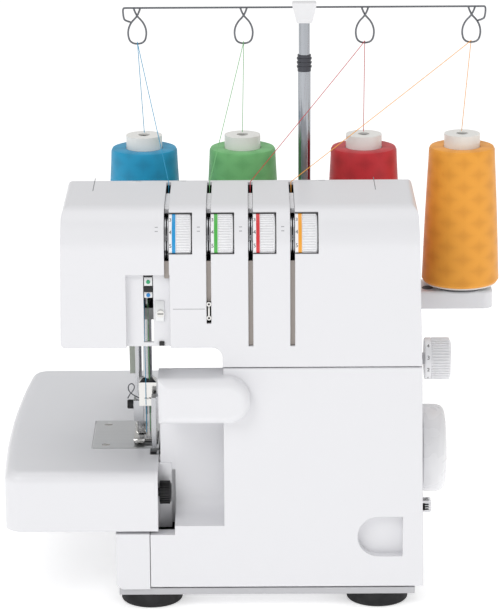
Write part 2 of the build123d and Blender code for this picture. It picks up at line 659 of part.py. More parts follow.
foot_hinge_y = front_y + foot_front + foot_length - 4
foot_hinge_z = foot_sole_z + 6.5
foot_x = (presser_x - 4.2, presser_x - 4.2 + foot_width)
with BuildPart() as foot_ankle:
    block((presser_x - 4, presser_x + 3.2), (presser_y - 4.5, presser_y + 9), ankle_z)
    block((presser_x - 1, presser_x + 3.2), (presser_y + 4, foot_hinge_y + 3), (foot_hinge_z - 3, ankle_z[0] + 2))
    rod_z(presser_x, presser_y, (ankle_z[1] - 8, ankle_z[1] + 1), presser_bar_radius, mode=Mode.SUBTRACT)
    rod_x((presser_x - 7.5, presser_x - 4), presser_y, ankle_z[1] - 4, 3.4)   # thumb screw
    rod_x((presser_x - 2, presser_x + 4), foot_hinge_y, foot_hinge_z, 1.0 + fit, mode=Mode.SUBTRACT)
keep(foot_ankle, "foot_ankle")

with BuildPart() as presser_foot:
    block(foot_x, (front_y + foot_front, front_y + foot_front + foot_length), (foot_sole_z, foot_sole_z + 2.6))
    chamfer(presser_foot.edges().filter_by(Axis.X).group_by(Axis.Z)[0], 1.0)
    for x in ((presser_x - 3.0, presser_x - 1.3), (presser_x + 3.5, presser_x + 5.2)):
        block(x, (foot_hinge_y - 4, foot_hinge_y + 3.5), (foot_sole_z + 2, foot_hinge_z + 2.5))
    rod_x((presser_x - 3.0, presser_x + 5.2), foot_hinge_y, foot_hinge_z, 1.0)
    # needle slot, open at the toe
    block((needle_x - 2.9, needle_x + 3.1), (front_y + foot_front - 1, needle_y + 6),
          (foot_sole_z - 1, foot_sole_z + 4), mode=Mode.SUBTRACT)
keep(presser_foot, "presser_foot")

lifter_x = (-97.8, -92.8)
with BuildPart() as presser_lifter:
    rod_x(lifter_x, lifter_y, lifter_z, 4.8)
    with BuildSketch(Plane.YZ.offset(lifter_x[0])):
        with BuildLine():
            Polyline((lifter_y - 4, lifter_z), (lifter_y + 4.6, lifter_z), (lifter_y + 18, 158),
                     (lifter_y + 16, 151), (lifter_y + 9, 151), (lifter_y + 7, 158), close=True)
        make_face()
    extrude(amount=lifter_x[1] - lifter_x[0])
    rod_x((lifter_x[1], -85.5), lifter_y, lifter_z, 2)
keep(presser_lifter, "presser_lifter")

# ---------------------------------------------------------------- stitch forming parts
plate_screw_spots = ((-115.3, plate_y[0] + 9), (-115.3, plate_y[1] - 9))
dog_xs = (needle_x - 6.4, needle_x + 5.0)
dog_y = (front_y + 72.0, front_y + 98.0)
with BuildPart() as needle_plate:
    block(plate_x, plate_y, (bed_z - plate_thickness, bed_z))
    for x in dog_xs:
        block((x - 2.1, x + 2.1), (dog_y[0] - 3, dog_y[1] + 3), (bed_z - 3, bed_z + 1), mode=Mode.SUBTRACT)
    block((needle_x - 3, needle_x + 3), (needle_y - 3, needle_y + 3), (bed_z - 3, bed_z + 1), mode=Mode.SUBTRACT)
    for x, y in plate_screw_spots:
        with Locations((x, y, bed_z)):
            CounterSinkHole(1.6, 3.4, counter_sink_angle=90)
keep(needle_plate, "needle_plate")

with BuildPart() as plate_screws:
    for x, y in plate_screw_spots:
        rod_z(x, y, (bed_z - 3, bed_z), 1.5)
        with Locations((x, y, bed_z - 0.95)):
            Cone(1.5, 3.3, 1.7)
        block((x - 4, x + 4), (y - 0.4, y + 0.4), (bed_z - 0.7, bed_z + 1), mode=Mode.SUBTRACT)
keep(plate_screws, "plate_screws")

with BuildPart() as feed_dogs:
    for x in dog_xs:
        block((x - 1.6, x + 1.6), dog_y, (94, bed_z + 0.5))
        for i in range(12):
            block((x - 2, x + 2), (dog_y[0] + 1.2 + 2 * i, dog_y[0] + 2.2 + 2 * i),
                  (bed_z - 0.3, bed_z + 1), mode=Mode.SUBTRACT)
    block((dog_xs[0] - 1.6, dog_xs[1] + 1.6), (dog_y[0] + 8, dog_y[1]), (90, 95))
    block((needle_x - 3, needle_x + 3), (dog_y[1] - 6, dog_y[1] + 16), (86, 92))
keep(feed_dogs, "feed_dogs")

with BuildPart() as lower_looper:
    rod_y(-52, (front_y + 54, front_y + 60), 74, 5)
    with BuildSketch(front_plane(front_y + 56)):
        with BuildLine():
            Polyline((-52, 70), (-52, 78), (-88, 97), (-96, 97), (-96, 95.6), (-89, 94), close=True)
        make_face()
    extrude(amount=-2.4)
    rod_y(-52, (front_y + 53, front_y + 61), 74, 2 + fit, mode=Mode.SUBTRACT)
keep(lower_looper, "lower_looper")

with BuildPart() as upper_looper:
    rod_y(-34, (front_y + 63.5, front_y + 71.5), 78, 5)
    with BuildSketch(front_plane(front_y + 66)):
        with BuildLine():
            Polyline((-34, 74), (-34, 82), (-62, 96.5), (-73, 100), (-72, 98), (-63, 91), close=True)
        make_face()
    extrude(amount=-2.4)
    rod_y(-34, (front_y + 63, front_y + 72), 78, 2 + fit, mode=Mode.SUBTRACT)
keep(upper_looper, "upper_looper")

with BuildPart() as looper_pins:
    rod_y(-52, (front_y + 50, front_y + 64), 74, 2)
    rod_y(-34, (front_y + 59, front_y + 76), 78, 2)
    block((-56, -30), (front_y + 74, front_y + 80), (free_arm_z[0] + 3, 86))
    block((-56, -48), (front_y + 63, front_y + 75), (free_arm_z[0] + 3, 78))
keep(looper_pins, "looper_pins")

# ---------------------------------------------------------------- knives
with BuildPart() as moving_knife:
    block(moving_knife_x, (front_y + 47, front_y + 56), (bed_z + 3.5, 152))
    block((moving_knife_x[0], post_x[0] + 6), (front_y + 50, front_y + 57.7), (143, 152))
    block(moving_knife_x, (front_y + 46, front_y + 50), (bed_z + 3, bed_z + 7), mode=Mode.SUBTRACT)
keep(moving_knife, "moving_knife")

with BuildPart() as fixed_knife:
    block((moving_knife_x[1] + 0.1, moving_knife_x[1] + 1.6), (front_y + 47, front_y + 55),
          (knife_seat_z, bed_z - 0.5))
keep(fixed_knife, "fixed_knife")

knob_x = (bed_split + 0.8, -64.2)
with BuildPart() as knife_knob:
    rod_x(knob_x, knob_y, knob_z, knob_radius)
    chamfer(knife_knob.edges().filter_by(GeomType.CIRCLE).sort_by(Axis.X)[-1], 1.2)
    rod_x((-86, knob_x[0]), knob_y, knob_z, spindle_radius)
keep(knife_knob, "knife_knob")

# ---------------------------------------------------------------- cloth plate
plate_low_z = base_step_z + 2.3
bow = 4.0                   # the left side is this much fuller in the middle
plate_side = 10.0           # length of its right side in front of the free arm
with BuildPart() as cloth_plate:
    with BuildSketch(Plane.XY.offset(plate_low_z)) as plan:
        with BuildLine():
            start = (bed_split, front_y)
            front_left = (bed_left + bow, front_y)
            rear_left = (bed_left + 2 * bow, rear_y)
            Polyline((bed_split, rear_y), start, front_left)
            ThreePointArc(front_left, (bed_left, front_y + base_depth * 0.4), rear_left)
            Line(rear_left, (bed_split, rear_y))
        make_face()
        fillet(plan.vertices().group_by(Axis.X)[0], 14.0)
        fillet(plan.vertices().group_by(Axis.X)[1], 14.0)
    extrude(amount=bed_z - plate_low_z)
    top_rim = cloth_plate.faces().sort_by(Axis.Z)[-1].edges()
    fillet(ShapeList(edge for edge in top_rim if edge.center().X < bed_split - 1), 8.0)
    # hollow under the top; the right side is open where the free arm slides in
    with BuildSketch(Plane.XY.offset(plate_low_z - 1)):
        add(plan.sketch)
        offset(amount=-wall, kind=Kind.INTERSECTION, mode=Mode.REPLACE)
    extrude(amount=bed_z - plate_low_z - wall + 1, mode=Mode.SUBTRACT)
    block((bed_split - wall - 1, bed_split + 1), (front_y + plate_side, front_y + 150),
          (plate_low_z - 1, bed_z - wall), mode=Mode.SUBTRACT)
    block((plate_left - gap, bed_split + 1), (plate_y[0] - gap, plate_y[1] + gap),
          (plate_low_z - 1, bed_z + 1), mode=Mode.SUBTRACT)
    block((moving_knife_x[0] - 1.5, bed_split + 1), (front_y + 44, plate_y[0]),
          (plate_low_z - 1, bed_z + 1), mode=Mode.SUBTRACT)
keep(cloth_plate, "cloth_plate")

# ---------------------------------------------------------------- thread stand
stand_x_span = (stand_x - stand_half, stand_x + stand_half)
stand_y_span = (stand_y - stand_depth / 2, stand_y + stand_depth / 2)
holder_height = 3.0
with BuildPart() as spool_stand:
    block(stand_x_span, stand_y_span, (stand_low_z, stand_top_z))
    fillet(spool_stand.edges().filter_by(Axis.Z), 8.0)
    fillet(spool_stand.faces().sort_by(Axis.Z)[-1].edges(), 2.0)
    with BuildSketch(Plane.XY.offset(stand_low_z - 1)):
        with Locations((stand_x, stand_y)):
            Rectangle(2 * (stand_half - wall), stand_depth - 2 * wall)
    extrude(amount=stand_top_z - stand_low_z - wall + 1, mode=Mode.SUBTRACT)
    block((stand_x - 30, stand_x + 30), stand_y_span, (seam_z - gap, stand_top_z - wall))
    rod_z(stand_x, stand_y, (seam_z - gap + 2, stand_top_z + 6), pole_radius + 3)
    rod_z(stand_x, stand_y, (stand_low_z, stand_top_z + 8), pole_radius, mode=Mode.SUBTRACT)
    for offset_x in cone_offsets:
        rod_z(stand_x + offset_x, stand_y, (stand_low_z + 2, stand_top_z), pin_radius + 2.5)
        rod_z(stand_x + offset_x, stand_y, (stand_low_z + 4, stand_top_z + 1), pin_radius, mode=Mode.SUBTRACT)
keep(spool_stand, "spool_stand")

with BuildPart() as cone_holders:
    for offset_x in cone_offsets:
        rod_z(stand_x + offset_x, stand_y, (stand_top_z, stand_top_z + holder_height), 21)
        rod_z(stand_x + offset_x, stand_y, (stand_top_z, cone_low_z + 12), pin_radius + 3.6)
        rod_z(stand_x + offset_x, stand_y, (stand_top_z - 1, cone_low_z + 13), pin_radius + fit,
              mode=Mode.SUBTRACT)
keep(cone_holders, "cone_holders")

with BuildPart() as spool_pins:
    for offset_x in cone_offsets:
        rod_z(stand_x + offset_x, stand_y, (stand_low_z + 4, cone_low_z + 60), pin_radius)
    fillet(spool_pins.edges().filter_by(GeomType.CIRCLE).group_by(Axis.Z)[-1], 2.0)
keep(spool_pins, "spool_pins")

core_wall = 1.5
for offset_x, colour in zip(cone_offsets, colours):
    with BuildPart() as thread_cone:
        with BuildSketch(Plane.XZ.offset(-stand_y)):
            with BuildLine():
                axis_x = stand_x + offset_x
                Polyline((axis_x + cap_radius + 3.6, cone_low_z + 1.0), (axis_x + cone_low_radius, cone_low_z + 1.0),
                         (axis_x + cone_top_radius, cone_top_z), (axis_x + cap_radius, cone_top_z), close=True)
            make_face()
        revolve(axis=Axis((axis_x, stand_y, 0), (0, 0, 1)))
        fillet(thread_cone.edges().filter_by(GeomType.CIRCLE).group_by(Axis.Z)[-1].sort_by(SortBy.RADIUS)[-1], 2.5)
    keep(thread_cone, f"thread_cone_{colour}")

with BuildPart() as cone_cores:
    for offset_x in cone_offsets:
        axis_x = stand_x + offset_x
        with BuildSketch(Plane.XZ.offset(-stand_y)):
            with BuildLine():
                Polyline((axis_x + cap_radius + 3.6 - core_wall, cone_low_z), (axis_x + cone_low_radius - 2, cone_low_z),
                         (axis_x + cone_low_radius - 2, cone_low_z + 1.0),
                         (axis_x + cap_radius + 3.6, cone_low_z + 1.0), (axis_x + cap_radius, cone_top_z),
                         (axis_x + cap_radius, cap_top_z), (axis_x + 4.5, cap_top_z),
                         (axis_x + 4.5, cap_top_z - core_wall), (axis_x + cap_radius - core_wall, cap_top_z - core_wall),
                         (axis_x + cap_radius - core_wall, cone_top_z), close=True)
            make_face()
        revolve(axis=Axis((axis_x, stand_y, 0), (0, 0, 1)))
keep(cone_cores, "cone_cores")

# ---------------------------------------------------------------- pole and thread guide
tube_low_z = 340.0
guide_low_z = 415.0
with BuildPart() as pole_lower_tube:
    rod_z(stand_x, stand_y, (stand_low_z, collar_low_z), pole_radius)
    rod_z(stand_x, stand_y, (stand_low_z + 20, collar_low_z + 1), tube_radius + fit, mode=Mode.SUBTRACT)
keep(pole_lower_tube, "pole_lower_tube")

with BuildPart() as pole_collar:
    rod_z(stand_x, stand_y, (collar_low_z, collar_top_z), pole_radius + 0.3)
    for i in range(3):
        ring_z = collar_low_z + 3 + 3.2 * i
        rod_z(stand_x, stand_y, (ring_z, ring_z + 1.2), pole_radius + 0.9)
    rod_z(stand_x, stand_y, (collar_low_z - 1, collar_top_z + 1), tube_radius + fit, mode=Mode.SUBTRACT)
keep(pole_collar, "pole_collar")

with BuildPart() as pole_upper_tube:
    rod_z(stand_x, stand_y, (tube_low_z, guide_low_z + 4), tube_radius)
keep(pole_upper_tube, "pole_upper_tube")

with BuildPart() as guide_holder:
    with BuildSketch(front_plane(stand_y - 6)):
        with BuildLine():
            Polyline((stand_x - 6, guide_low_z), (stand_x + 6, guide_low_z), (stand_x + 9.8, guide_z + 4),
                     (stand_x - 9.8, guide_z + 4), close=True)
        make_face()
    extrude(amount=-12)
    fillet(guide_holder.edges().filter_by(Axis.Y), 1.5)
    rod_z(stand_x, stand_y, (guide_low_z - 1, guide_low_z + 4), tube_radius, mode=Mode.SUBTRACT)
    rod_x((stand_x - 12, stand_x + 12), stand_y, guide_z, wire_radius, mode=Mode.SUBTRACT)
keep(guide_holder, "guide_holder")

hook_drop = 11.0
with BuildPart() as guide_wire:
    rod_x((stand_x - guide_half, stand_x + guide_half), stand_y, guide_z, wire_radius)
    for offset_x in loop_offsets:
        centre = (stand_x + offset_x, guide_z - loop_height / 2)
        with BuildLine(front_plane(stand_y)) as loop:
            EllipticalCenterArc(centre, loop_radius, loop_height / 2, start_angle=93, arc_size=354)
        with BuildSketch(Plane(origin=loop.line @ 0, z_dir=loop.line % 0)):
            Circle(wire_radius)
        sweep()
    for side in (-1, 1):
        end = stand_x + side * guide_half
        bend = (end - side * 1.5, stand_y, guide_z - hook_drop + 3)
        with BuildLine():
            down = Line((end, stand_y, guide_z), bend)
        with BuildSketch(Plane(origin=down @ 0, z_dir=down % 0)):
            Circle(wire_radius)
        sweep()
        with BuildLine():
            inward = Line(bend, (end - side * 6, stand_y, guide_z - hook_drop))
        with BuildSketch(Plane(origin=inward @ 0, z_dir=inward % 0)):
            Circle(wire_radius)
        sweep()
        for point in (down @ 0, bend):
            with Locations(point):
                Sphere(wire_radius)
keep(guide_wire, "guide_wire")

# ---------------------------------------------------------------- threads
bend_radius = 0.8           # where a thread turns over a loop or into its slot
over_z = guide_z - loop_height + wire_radius + thread_radius + 0.3
past_wire = wire_radius + thread_radius + 0.35
with BuildPart() as threads:
    for offset_x, loop_x, slot_x in zip(cone_offsets, loop_offsets, slot_xs):
        with BuildLine() as route:
            FilletPolyline(
                (stand_x + offset_x, stand_y + 6, cap_top_z + thread_radius + 0.1),
                (stand_x + loop_x, stand_y + past_wire, over_z),
                (stand_x + loop_x, stand_y - past_wire, over_z),
                (slot_x, front_y + 92, top_z + 0.8),
                (slot_x, front_y + 76, channel_floor_z + thread_radius + 0.02),
                radius=bend_radius,
            )
        with BuildSketch(Plane(origin=route.line @ 0, z_dir=route.line % 0)):
            Circle(thread_radius)
        sweep()
keep(threads, "threads")

# ---------------------------------------------------------------- controls
with BuildPart() as stitch_dial:
    rod_x((stitch_dial_left, stitch_dial_right), stitch_dial_y, stitch_dial_z, stitch_dial_radius)
    fillet(stitch_dial.edges().filter_by(GeomType.CIRCLE), 1.5)
    rod_x((stitch_dial_left - 14, stitch_dial_left), stitch_dial_y, stitch_dial_z, dial_shaft_radius)
keep(stitch_dial, "stitch_dial")

with BuildPart() as differential_lever:
    rod_x((right_seam_x - 6, right_foot_x + 1), lever_y, lever_z, lever_shaft_radius)
    block((right_foot_x + 0.4, right_foot_x + 8.4), (lever_y - 5, lever_y + 5), (lever_z - 4.3, lever_z + 4.3))
    fillet(differential_lever.faces().sort_by(Axis.X)[-1].edges(), 1.5)
keep(differential_lever, "differential_lever")

with BuildPart() as power_inlet:
    block((70.3, 97.7), (rear_y - 22, rear_y), (32.3, 51.7))
    block((73, 95), (rear_y - 14, rear_y + 1), (35, 49), mode=Mode.SUBTRACT)
    for x in (79, 89):
        rod_y(x, (rear_y - 14.5, rear_y - 4), 42, 1.6)
keep(power_inlet, "power_inlet")

switch_y = rear_y - 9.0
switch_z = 42.0
with BuildPart() as power_switch:
    rod_x((40.6, 59.4), switch_y, switch_z, 8.6)
    block((40, 60), (rear_y - 20, switch_y + 1), (30, 54), mode=Mode.SUBTRACT)
    rod_x((38.4, 61.6), switch_y, switch_z, 2)
keep(power_switch, "power_switch")

with BuildPart() as switch_housing:
    block((38, 62), (rear_y - 20, rear_y - wall), (30, 54))
    block((40.3, 59.7), (rear_y - 18, rear_y), (32, 52), mode=Mode.SUBTRACT)
    rod_x((37, 63), switch_y, switch_z, 2 + fit, mode=Mode.SUBTRACT)
keep(switch_housing, "switch_housing")

with BuildPart() as lamp:
    block((-132, -112), (front_y + 40, front_y + 60), (arm_z + wall, arm_z + wall + 4))
    rod_z(-122, front_y + 50, (arm_z + wall + 4, arm_z + wall + 12), 6)
keep(lamp, "lamp")

with BuildPart() as hinge_pins:
    for x in hinge_xs:
        rod_x((x, x + hinge_pin_length), hinge_y, hinge_z, hinge_pin_radius)
keep(hinge_pins, "hinge_pins")
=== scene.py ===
import math
import bpy
from mathutils import Euler, Matrix, Vector


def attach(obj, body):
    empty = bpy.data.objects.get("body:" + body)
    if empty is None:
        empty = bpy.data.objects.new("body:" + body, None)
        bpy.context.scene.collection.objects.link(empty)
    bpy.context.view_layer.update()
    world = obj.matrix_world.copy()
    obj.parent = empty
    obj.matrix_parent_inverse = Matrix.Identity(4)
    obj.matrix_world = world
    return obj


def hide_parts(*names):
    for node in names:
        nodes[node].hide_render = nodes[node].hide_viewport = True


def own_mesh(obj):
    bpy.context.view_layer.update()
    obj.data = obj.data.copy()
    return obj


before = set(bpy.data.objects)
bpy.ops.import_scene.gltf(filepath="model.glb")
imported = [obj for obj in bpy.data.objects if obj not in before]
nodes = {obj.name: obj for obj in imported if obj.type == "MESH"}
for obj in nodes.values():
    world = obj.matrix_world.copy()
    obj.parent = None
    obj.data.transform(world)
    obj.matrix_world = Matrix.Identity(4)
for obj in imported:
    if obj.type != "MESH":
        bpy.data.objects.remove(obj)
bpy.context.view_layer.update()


def mm(*values):
    # millimetres to metres
    return values[0] / 1000 if len(values) == 1 else tuple(value / 1000 for value in values)


def linearColour(hexText):
    channels = [int(hexText[i:i + 2], 16) / 255 for i in (1, 3, 5)]
    return tuple(c / 12.92 if c <= 0.04045 else ((c + 0.055) / 1.055) ** 2.4 for c in channels) + (1.0,)


def addNode(tree, kind, settings, sockets):
    # a socket's entry is a value, or another node's output to link
    node = tree.nodes.new(kind)
    for key, value in settings.items():
        setattr(node, key, value)
    for key, value in sockets.items():
        if isinstance(value, bpy.types.NodeSocket):
            tree.links.new(value, node.inputs[key])
        else:
            node.inputs[key].default_value = value
    return node


# ---- camera, floor and lights
print("camera, floor and lights")
studio = {
    "place": (-4.5, -2241.3, 844.5),
    "pitch": 74.0,
    "roll": -0.3,
    "lens": 177.4,
    "floorSize": 14000,
    "keyPower": 30,
    "fillPower": 8,
    "topPower": 16,
    "worldStrength": 0.55,
}
cameraData = bpy.data.cameras.new("studioCamera")
cameraData.lens = studio["lens"]
cameraData.sensor_width = 36
cameraData.clip_end = 50
camera = bpy.data.objects.new("studioCamera", cameraData)
bpy.context.collection.objects.link(camera)
pitchTurn = Euler((math.radians(studio["pitch"]), 0, 0)).to_matrix()
turn = pitchTurn @ Matrix.Rotation(math.radians(studio["roll"]), 3, "Z")
camera.rotation_euler = turn.to_euler()
camera.location = mm(*studio["place"])
bpy.context.scene.camera = camera
bpy.context.scene.view_settings.view_transform = "Standard"

bpy.ops.object.select_all(action="DESELECT")
bpy.ops.mesh.primitive_plane_add(size=mm(studio["floorSize"]), location=(0, 0, 0))
floor = bpy.context.object
floor.name = "studioFloor"
floorMaterial = bpy.data.materials.new("studioPaper")     # matt seamless paper
floorMaterial.use_nodes = True
floorShader = floorMaterial.node_tree.nodes["Principled BSDF"]
floorShader.inputs["Base Color"].default_value = linearColour("#F7F7F7")
floorShader.inputs["Roughness"].default_value = 0.9
floorShader.inputs["Specular IOR Level"].default_value = 0.1
floorShader.inputs["Emission Color"].default_value = (1, 1, 1, 1)
floorShader.inputs["Emission Strength"].default_value = 0.45
floor.data.materials.append(floorMaterial)


def softLight(name, place, target, size, power):
    lightData = bpy.data.lights.new(name, "AREA")
    lightData.size = size
    lightData.energy = power
    light = bpy.data.objects.new(name, lightData)
    bpy.context.collection.objects.link(light)
    light.location = place
    light.rotation_euler = (Vector(target) - Vector(place)).to_track_quat("-Z", "Y").to_euler()


softLight("keyLight", (-1.6, -2.2, 2.4), (0, 0, 0.2), 1.6, studio["keyPower"])
softLight("fillLight", (2.4, -1.8, 1.4), (0, 0, 0.2), 1.8, studio["fillPower"])
softLight("topLight", (0, 0.4, 2.8), (0, 0, 0.2), 2.2, studio["topPower"])
world = bpy.data.worlds.new("studioWorld")
world.use_nodes = True
world.node_tree.nodes["Background"].inputs["Color"].default_value = (1, 1, 1, 1)
world.node_tree.nodes["Background"].inputs["Strength"].default_value = studio["worldStrength"]
bpy.context.scene.world = world

# ---- materials
print("materials")


def startMaterial(name, hexText, roughness, metallic=0.0):
    material = bpy.data.materials.new(name)
    material.use_nodes = True
    shader = material.node_tree.nodes["Principled BSDF"]
    shader.inputs["Base Color"].default_value = linearColour(hexText)
    shader.inputs["Roughness"].default_value = roughness
    shader.inputs["Metallic"].default_value = metallic
    return material, material.node_tree, shader


def addGrain(tree, shader, size, depth, detail=3.0, stretch=(1, 1, 1), edge=0.0):
    # a fine surface grain of this size and depth, in millimetres
    place = addNode(tree, "ShaderNodeTexCoord", {}, {})
    mapped = addNode(tree, "ShaderNodeMapping", {}, {"Vector": place.outputs["Object"], "Scale": stretch})
    grain = addNode(tree, "ShaderNodeTexNoise", {},
                    {"Vector": mapped.outputs["Vector"], "Scale": 1000 / size, "Detail": detail})
    bump = addNode(tree, "ShaderNodeBump", {},
                   {"Height": grain.outputs["Fac"], "Distance": mm(depth), "Strength": 0.6})
    if edge:
        rounded = addNode(tree, "ShaderNodeBevel", {"samples": 6}, {"Radius": mm(edge)})
        tree.links.new(rounded.outputs["Normal"], bump.inputs["Normal"])
    tree.links.new(bump.outputs["Normal"], shader.inputs["Normal"])
    return mapped, grain


def addUnevenness(tree, shader, mapped, low, high, size):
    # roughness that wanders between two values, as handled or moulded surfaces do
    cloud = addNode(tree, "ShaderNodeTexNoise", {},
                    {"Vector": mapped.outputs["Vector"], "Scale": 1000 / size})
    spread = addNode(tree, "ShaderNodeMapRange", {},
                     {"Value": cloud.outputs["Fac"], "From Min": 0.3, "From Max": 0.7,
                      "To Min": low, "To Max": high})
    tree.links.new(spread.outputs["Result"], shader.inputs["Roughness"])


# injection moulded ABS: white with a faint cool cast, soft broad highlights, a very fine moulded grain
whiteAbs, tree, shader = startMaterial("whiteMouldedAbs", "#E4E4E7", 0.34)
shader.inputs["IOR"].default_value = 1.53
shader.inputs["Coat Weight"].default_value = 0.12
mapped, grain = addGrain(tree, shader, 0.5, 0.006, edge=0.7)
addUnevenness(tree, shader, mapped, 0.30, 0.38, 35)

# the same ABS, a smoother grade on the small parts
whiteGlossAbs, tree, shader = startMaterial("whitePolishedAbs", "#EFEFF1", 0.26)
shader.inputs["IOR"].default_value = 1.53
mapped, grain = addGrain(tree, shader, 0.6, 0.004)
addUnevenness(tree, shader, mapped, 0.22, 0.30, 20)

# grey ABS of the tray and the cone seats: satin, shows a sand-blasted mould
greyAbs, tree, shader = startMaterial("greyTexturedAbs", "#BDBDC0", 0.5)
mapped, grain = addGrain(tree, shader, 0.8, 0.03, edge=0.4)
addUnevenness(tree, shader, mapped, 0.45, 0.58, 15)

# grey-green acetal of the presser lifter: smooth, slightly waxy
greyGreenAcetal, tree, shader = startMaterial("greyGreenAcetal", "#C9D0C4", 0.4)
mapped, grain = addGrain(tree, shader, 0.6, 0.008)
addUnevenness(tree, shader, mapped, 0.34, 0.46, 10)

# brown-grey painted shade at the back of the thread slots, dull
slotPaintedShade, tree, shader = startMaterial("paintedSlotShade", "#A39B95", 0.7)
addGrain(tree, shader, 0.5, 0.01)

darkGreyAbs, tree, shader = startMaterial("darkGreyTexturedAbs", "#55565A", 0.5)
mapped, grain = addGrain(tree, shader, 0.8, 0.03)
addUnevenness(tree, shader, mapped, 0.42, 0.55, 12)

# black nylon of guides and knobs: dull, slightly grainy
blackNylon, tree, shader = startMaterial("blackMouldedNylon", "#161618", 0.42)
mapped, grain = addGrain(tree, shader, 0.7, 0.02)
addUnevenness(tree, shader, mapped, 0.36, 0.5, 8)

# vulcanised rubber of the feet: matt with dust in the pores
footRubber, tree, shader = startMaterial("vulcanisedRubber", "#1D1D1F", 0.82)
mapped, grain = addGrain(tree, shader, 0.9, 0.05)
addUnevenness(tree, shader, mapped, 0.72, 0.9, 10)

# ground steel: fine grinding marks along the part
groundSteel, tree, shader = startMaterial("groundSteel", "#B9BABD", 0.26, 1.0)
mapped, grain = addGrain(tree, shader, 0.5, 0.01, stretch=(1, 1, 0.08))
addUnevenness(tree, shader, mapped, 0.2, 0.32, 6)

# satin rolled stainless of the needle plate: brushed from left to right
satinStainless, tree, shader = startMaterial("satinStainless", "#DCDDDE", 0.42, 1.0)
mapped, grain = addGrain(tree, shader, 0.5, 0.015, stretch=(0.04, 1, 1))
addUnevenness(tree, shader, mapped, 0.32, 0.46, 5)

# plated steel of the screws and the foot: bright
nickelPlate, tree, shader = startMaterial("nickelPlatedSteel", "#D6D5D2", 0.14, 1.0)
mapped, grain = addGrain(tree, shader, 0.9, 0.004)
addUnevenness(tree, shader, mapped, 0.1, 0.2, 7)

# chromed tube of the telescopic pole: mirror bright, the odd dull patch
chromePlate, tree, shader = startMaterial("chromePlatedTube", "#A3A6AB", 0.1, 1.0)
mapped, grain = addGrain(tree, shader, 1.2, 0.002)
addUnevenness(tree, shader, mapped, 0.07, 0.15, 12)

# black chromed collar of the pole: darker, still glossy
darkChrome, tree, shader = startMaterial("blackChromePlate", "#4A4B50", 0.16, 1.0)
mapped, grain = addGrain(tree, shader, 0.9, 0.003)
addUnevenness(tree, shader, mapped, 0.12, 0.22, 8)

# drawn spring steel wire, blued dark
blueSteelWire, tree, shader = startMaterial("bluedSteelWire", "#74767B", 0.3, 1.0)
mapped, grain = addGrain(tree, shader, 0.4, 0.01)
addUnevenness(tree, shader, mapped, 0.25, 0.4, 4)

# sand cast aluminium of the inner frame
castAluminium, tree, shader = startMaterial("sandCastAluminium", "#9A9B9C", 0.55, 1.0)
mapped, grain = addGrain(tree, shader, 1.2, 0.08)
addUnevenness(tree, shader, mapped, 0.45, 0.65, 9)

bronzeBush, tree, shader = startMaterial("sinteredBronze", "#A9825A", 0.45, 1.0)
addGrain(tree, shader, 0.4, 0.02)

motorPaint, tree, shader = startMaterial("stovedBlackPaint", "#232427", 0.35)
addGrain(tree, shader, 0.8, 0.02)

# black pad-print ink of the dial numbers; the same black is also painted shade in the window gaps and the screw slot
printInkAndPaintedShade, tree, shader = startMaterial("blackPrintAndPaintedShade", "#1A1A1C", 0.5)
addGrain(tree, shader, 0.5, 0.002)

greyInk, tree, shader = startMaterial("greyPadPrintInk", "#9A9A9E", 0.5)
addGrain(tree, shader, 0.5, 0.002)

lampGlass, tree, shader = startMaterial("opalLampPlastic", "#EFEBDD", 0.2)
addGrain(tree, shader, 0.8, 0.003)

# polypropylene cone cores: milky white, waxy
milkyPolypropylene, tree, shader = startMaterial("milkyPolypropylene", "#EDECE8", 0.4)
shader.inputs["Subsurface Weight"].default_value = 0.08
shader.inputs["Subsurface Radius"].default_value = (0.002, 0.002, 0.002)
mapped, grain = addGrain(tree, shader, 0.8, 0.008)
addUnevenness(tree, shader, mapped, 0.34, 0.46, 14)

print("thread materials")
cone = {
    "standX": 38.5, "standY": 48.5,
    "offsets": {"blue": -124.9, "green": -48.2, "red": 46.4, "orange": 123.1},
    "lowRadius": 30.3, "topRadius": 25.7, "lowZ": 208.1, "topZ": 316.9, "coreRadius": 14.2,
    "hex": {"blue": "#0796C2", "green": "#74BC76", "red": "#C4232D", "orange": "#F3A637"},
    "dark": {"blue": "#0585AE", "green": "#64AA67", "red": "#AC1B24", "orange": "#E0942B"},
    "windings": 7,        # crossing bands seen round the cone
}


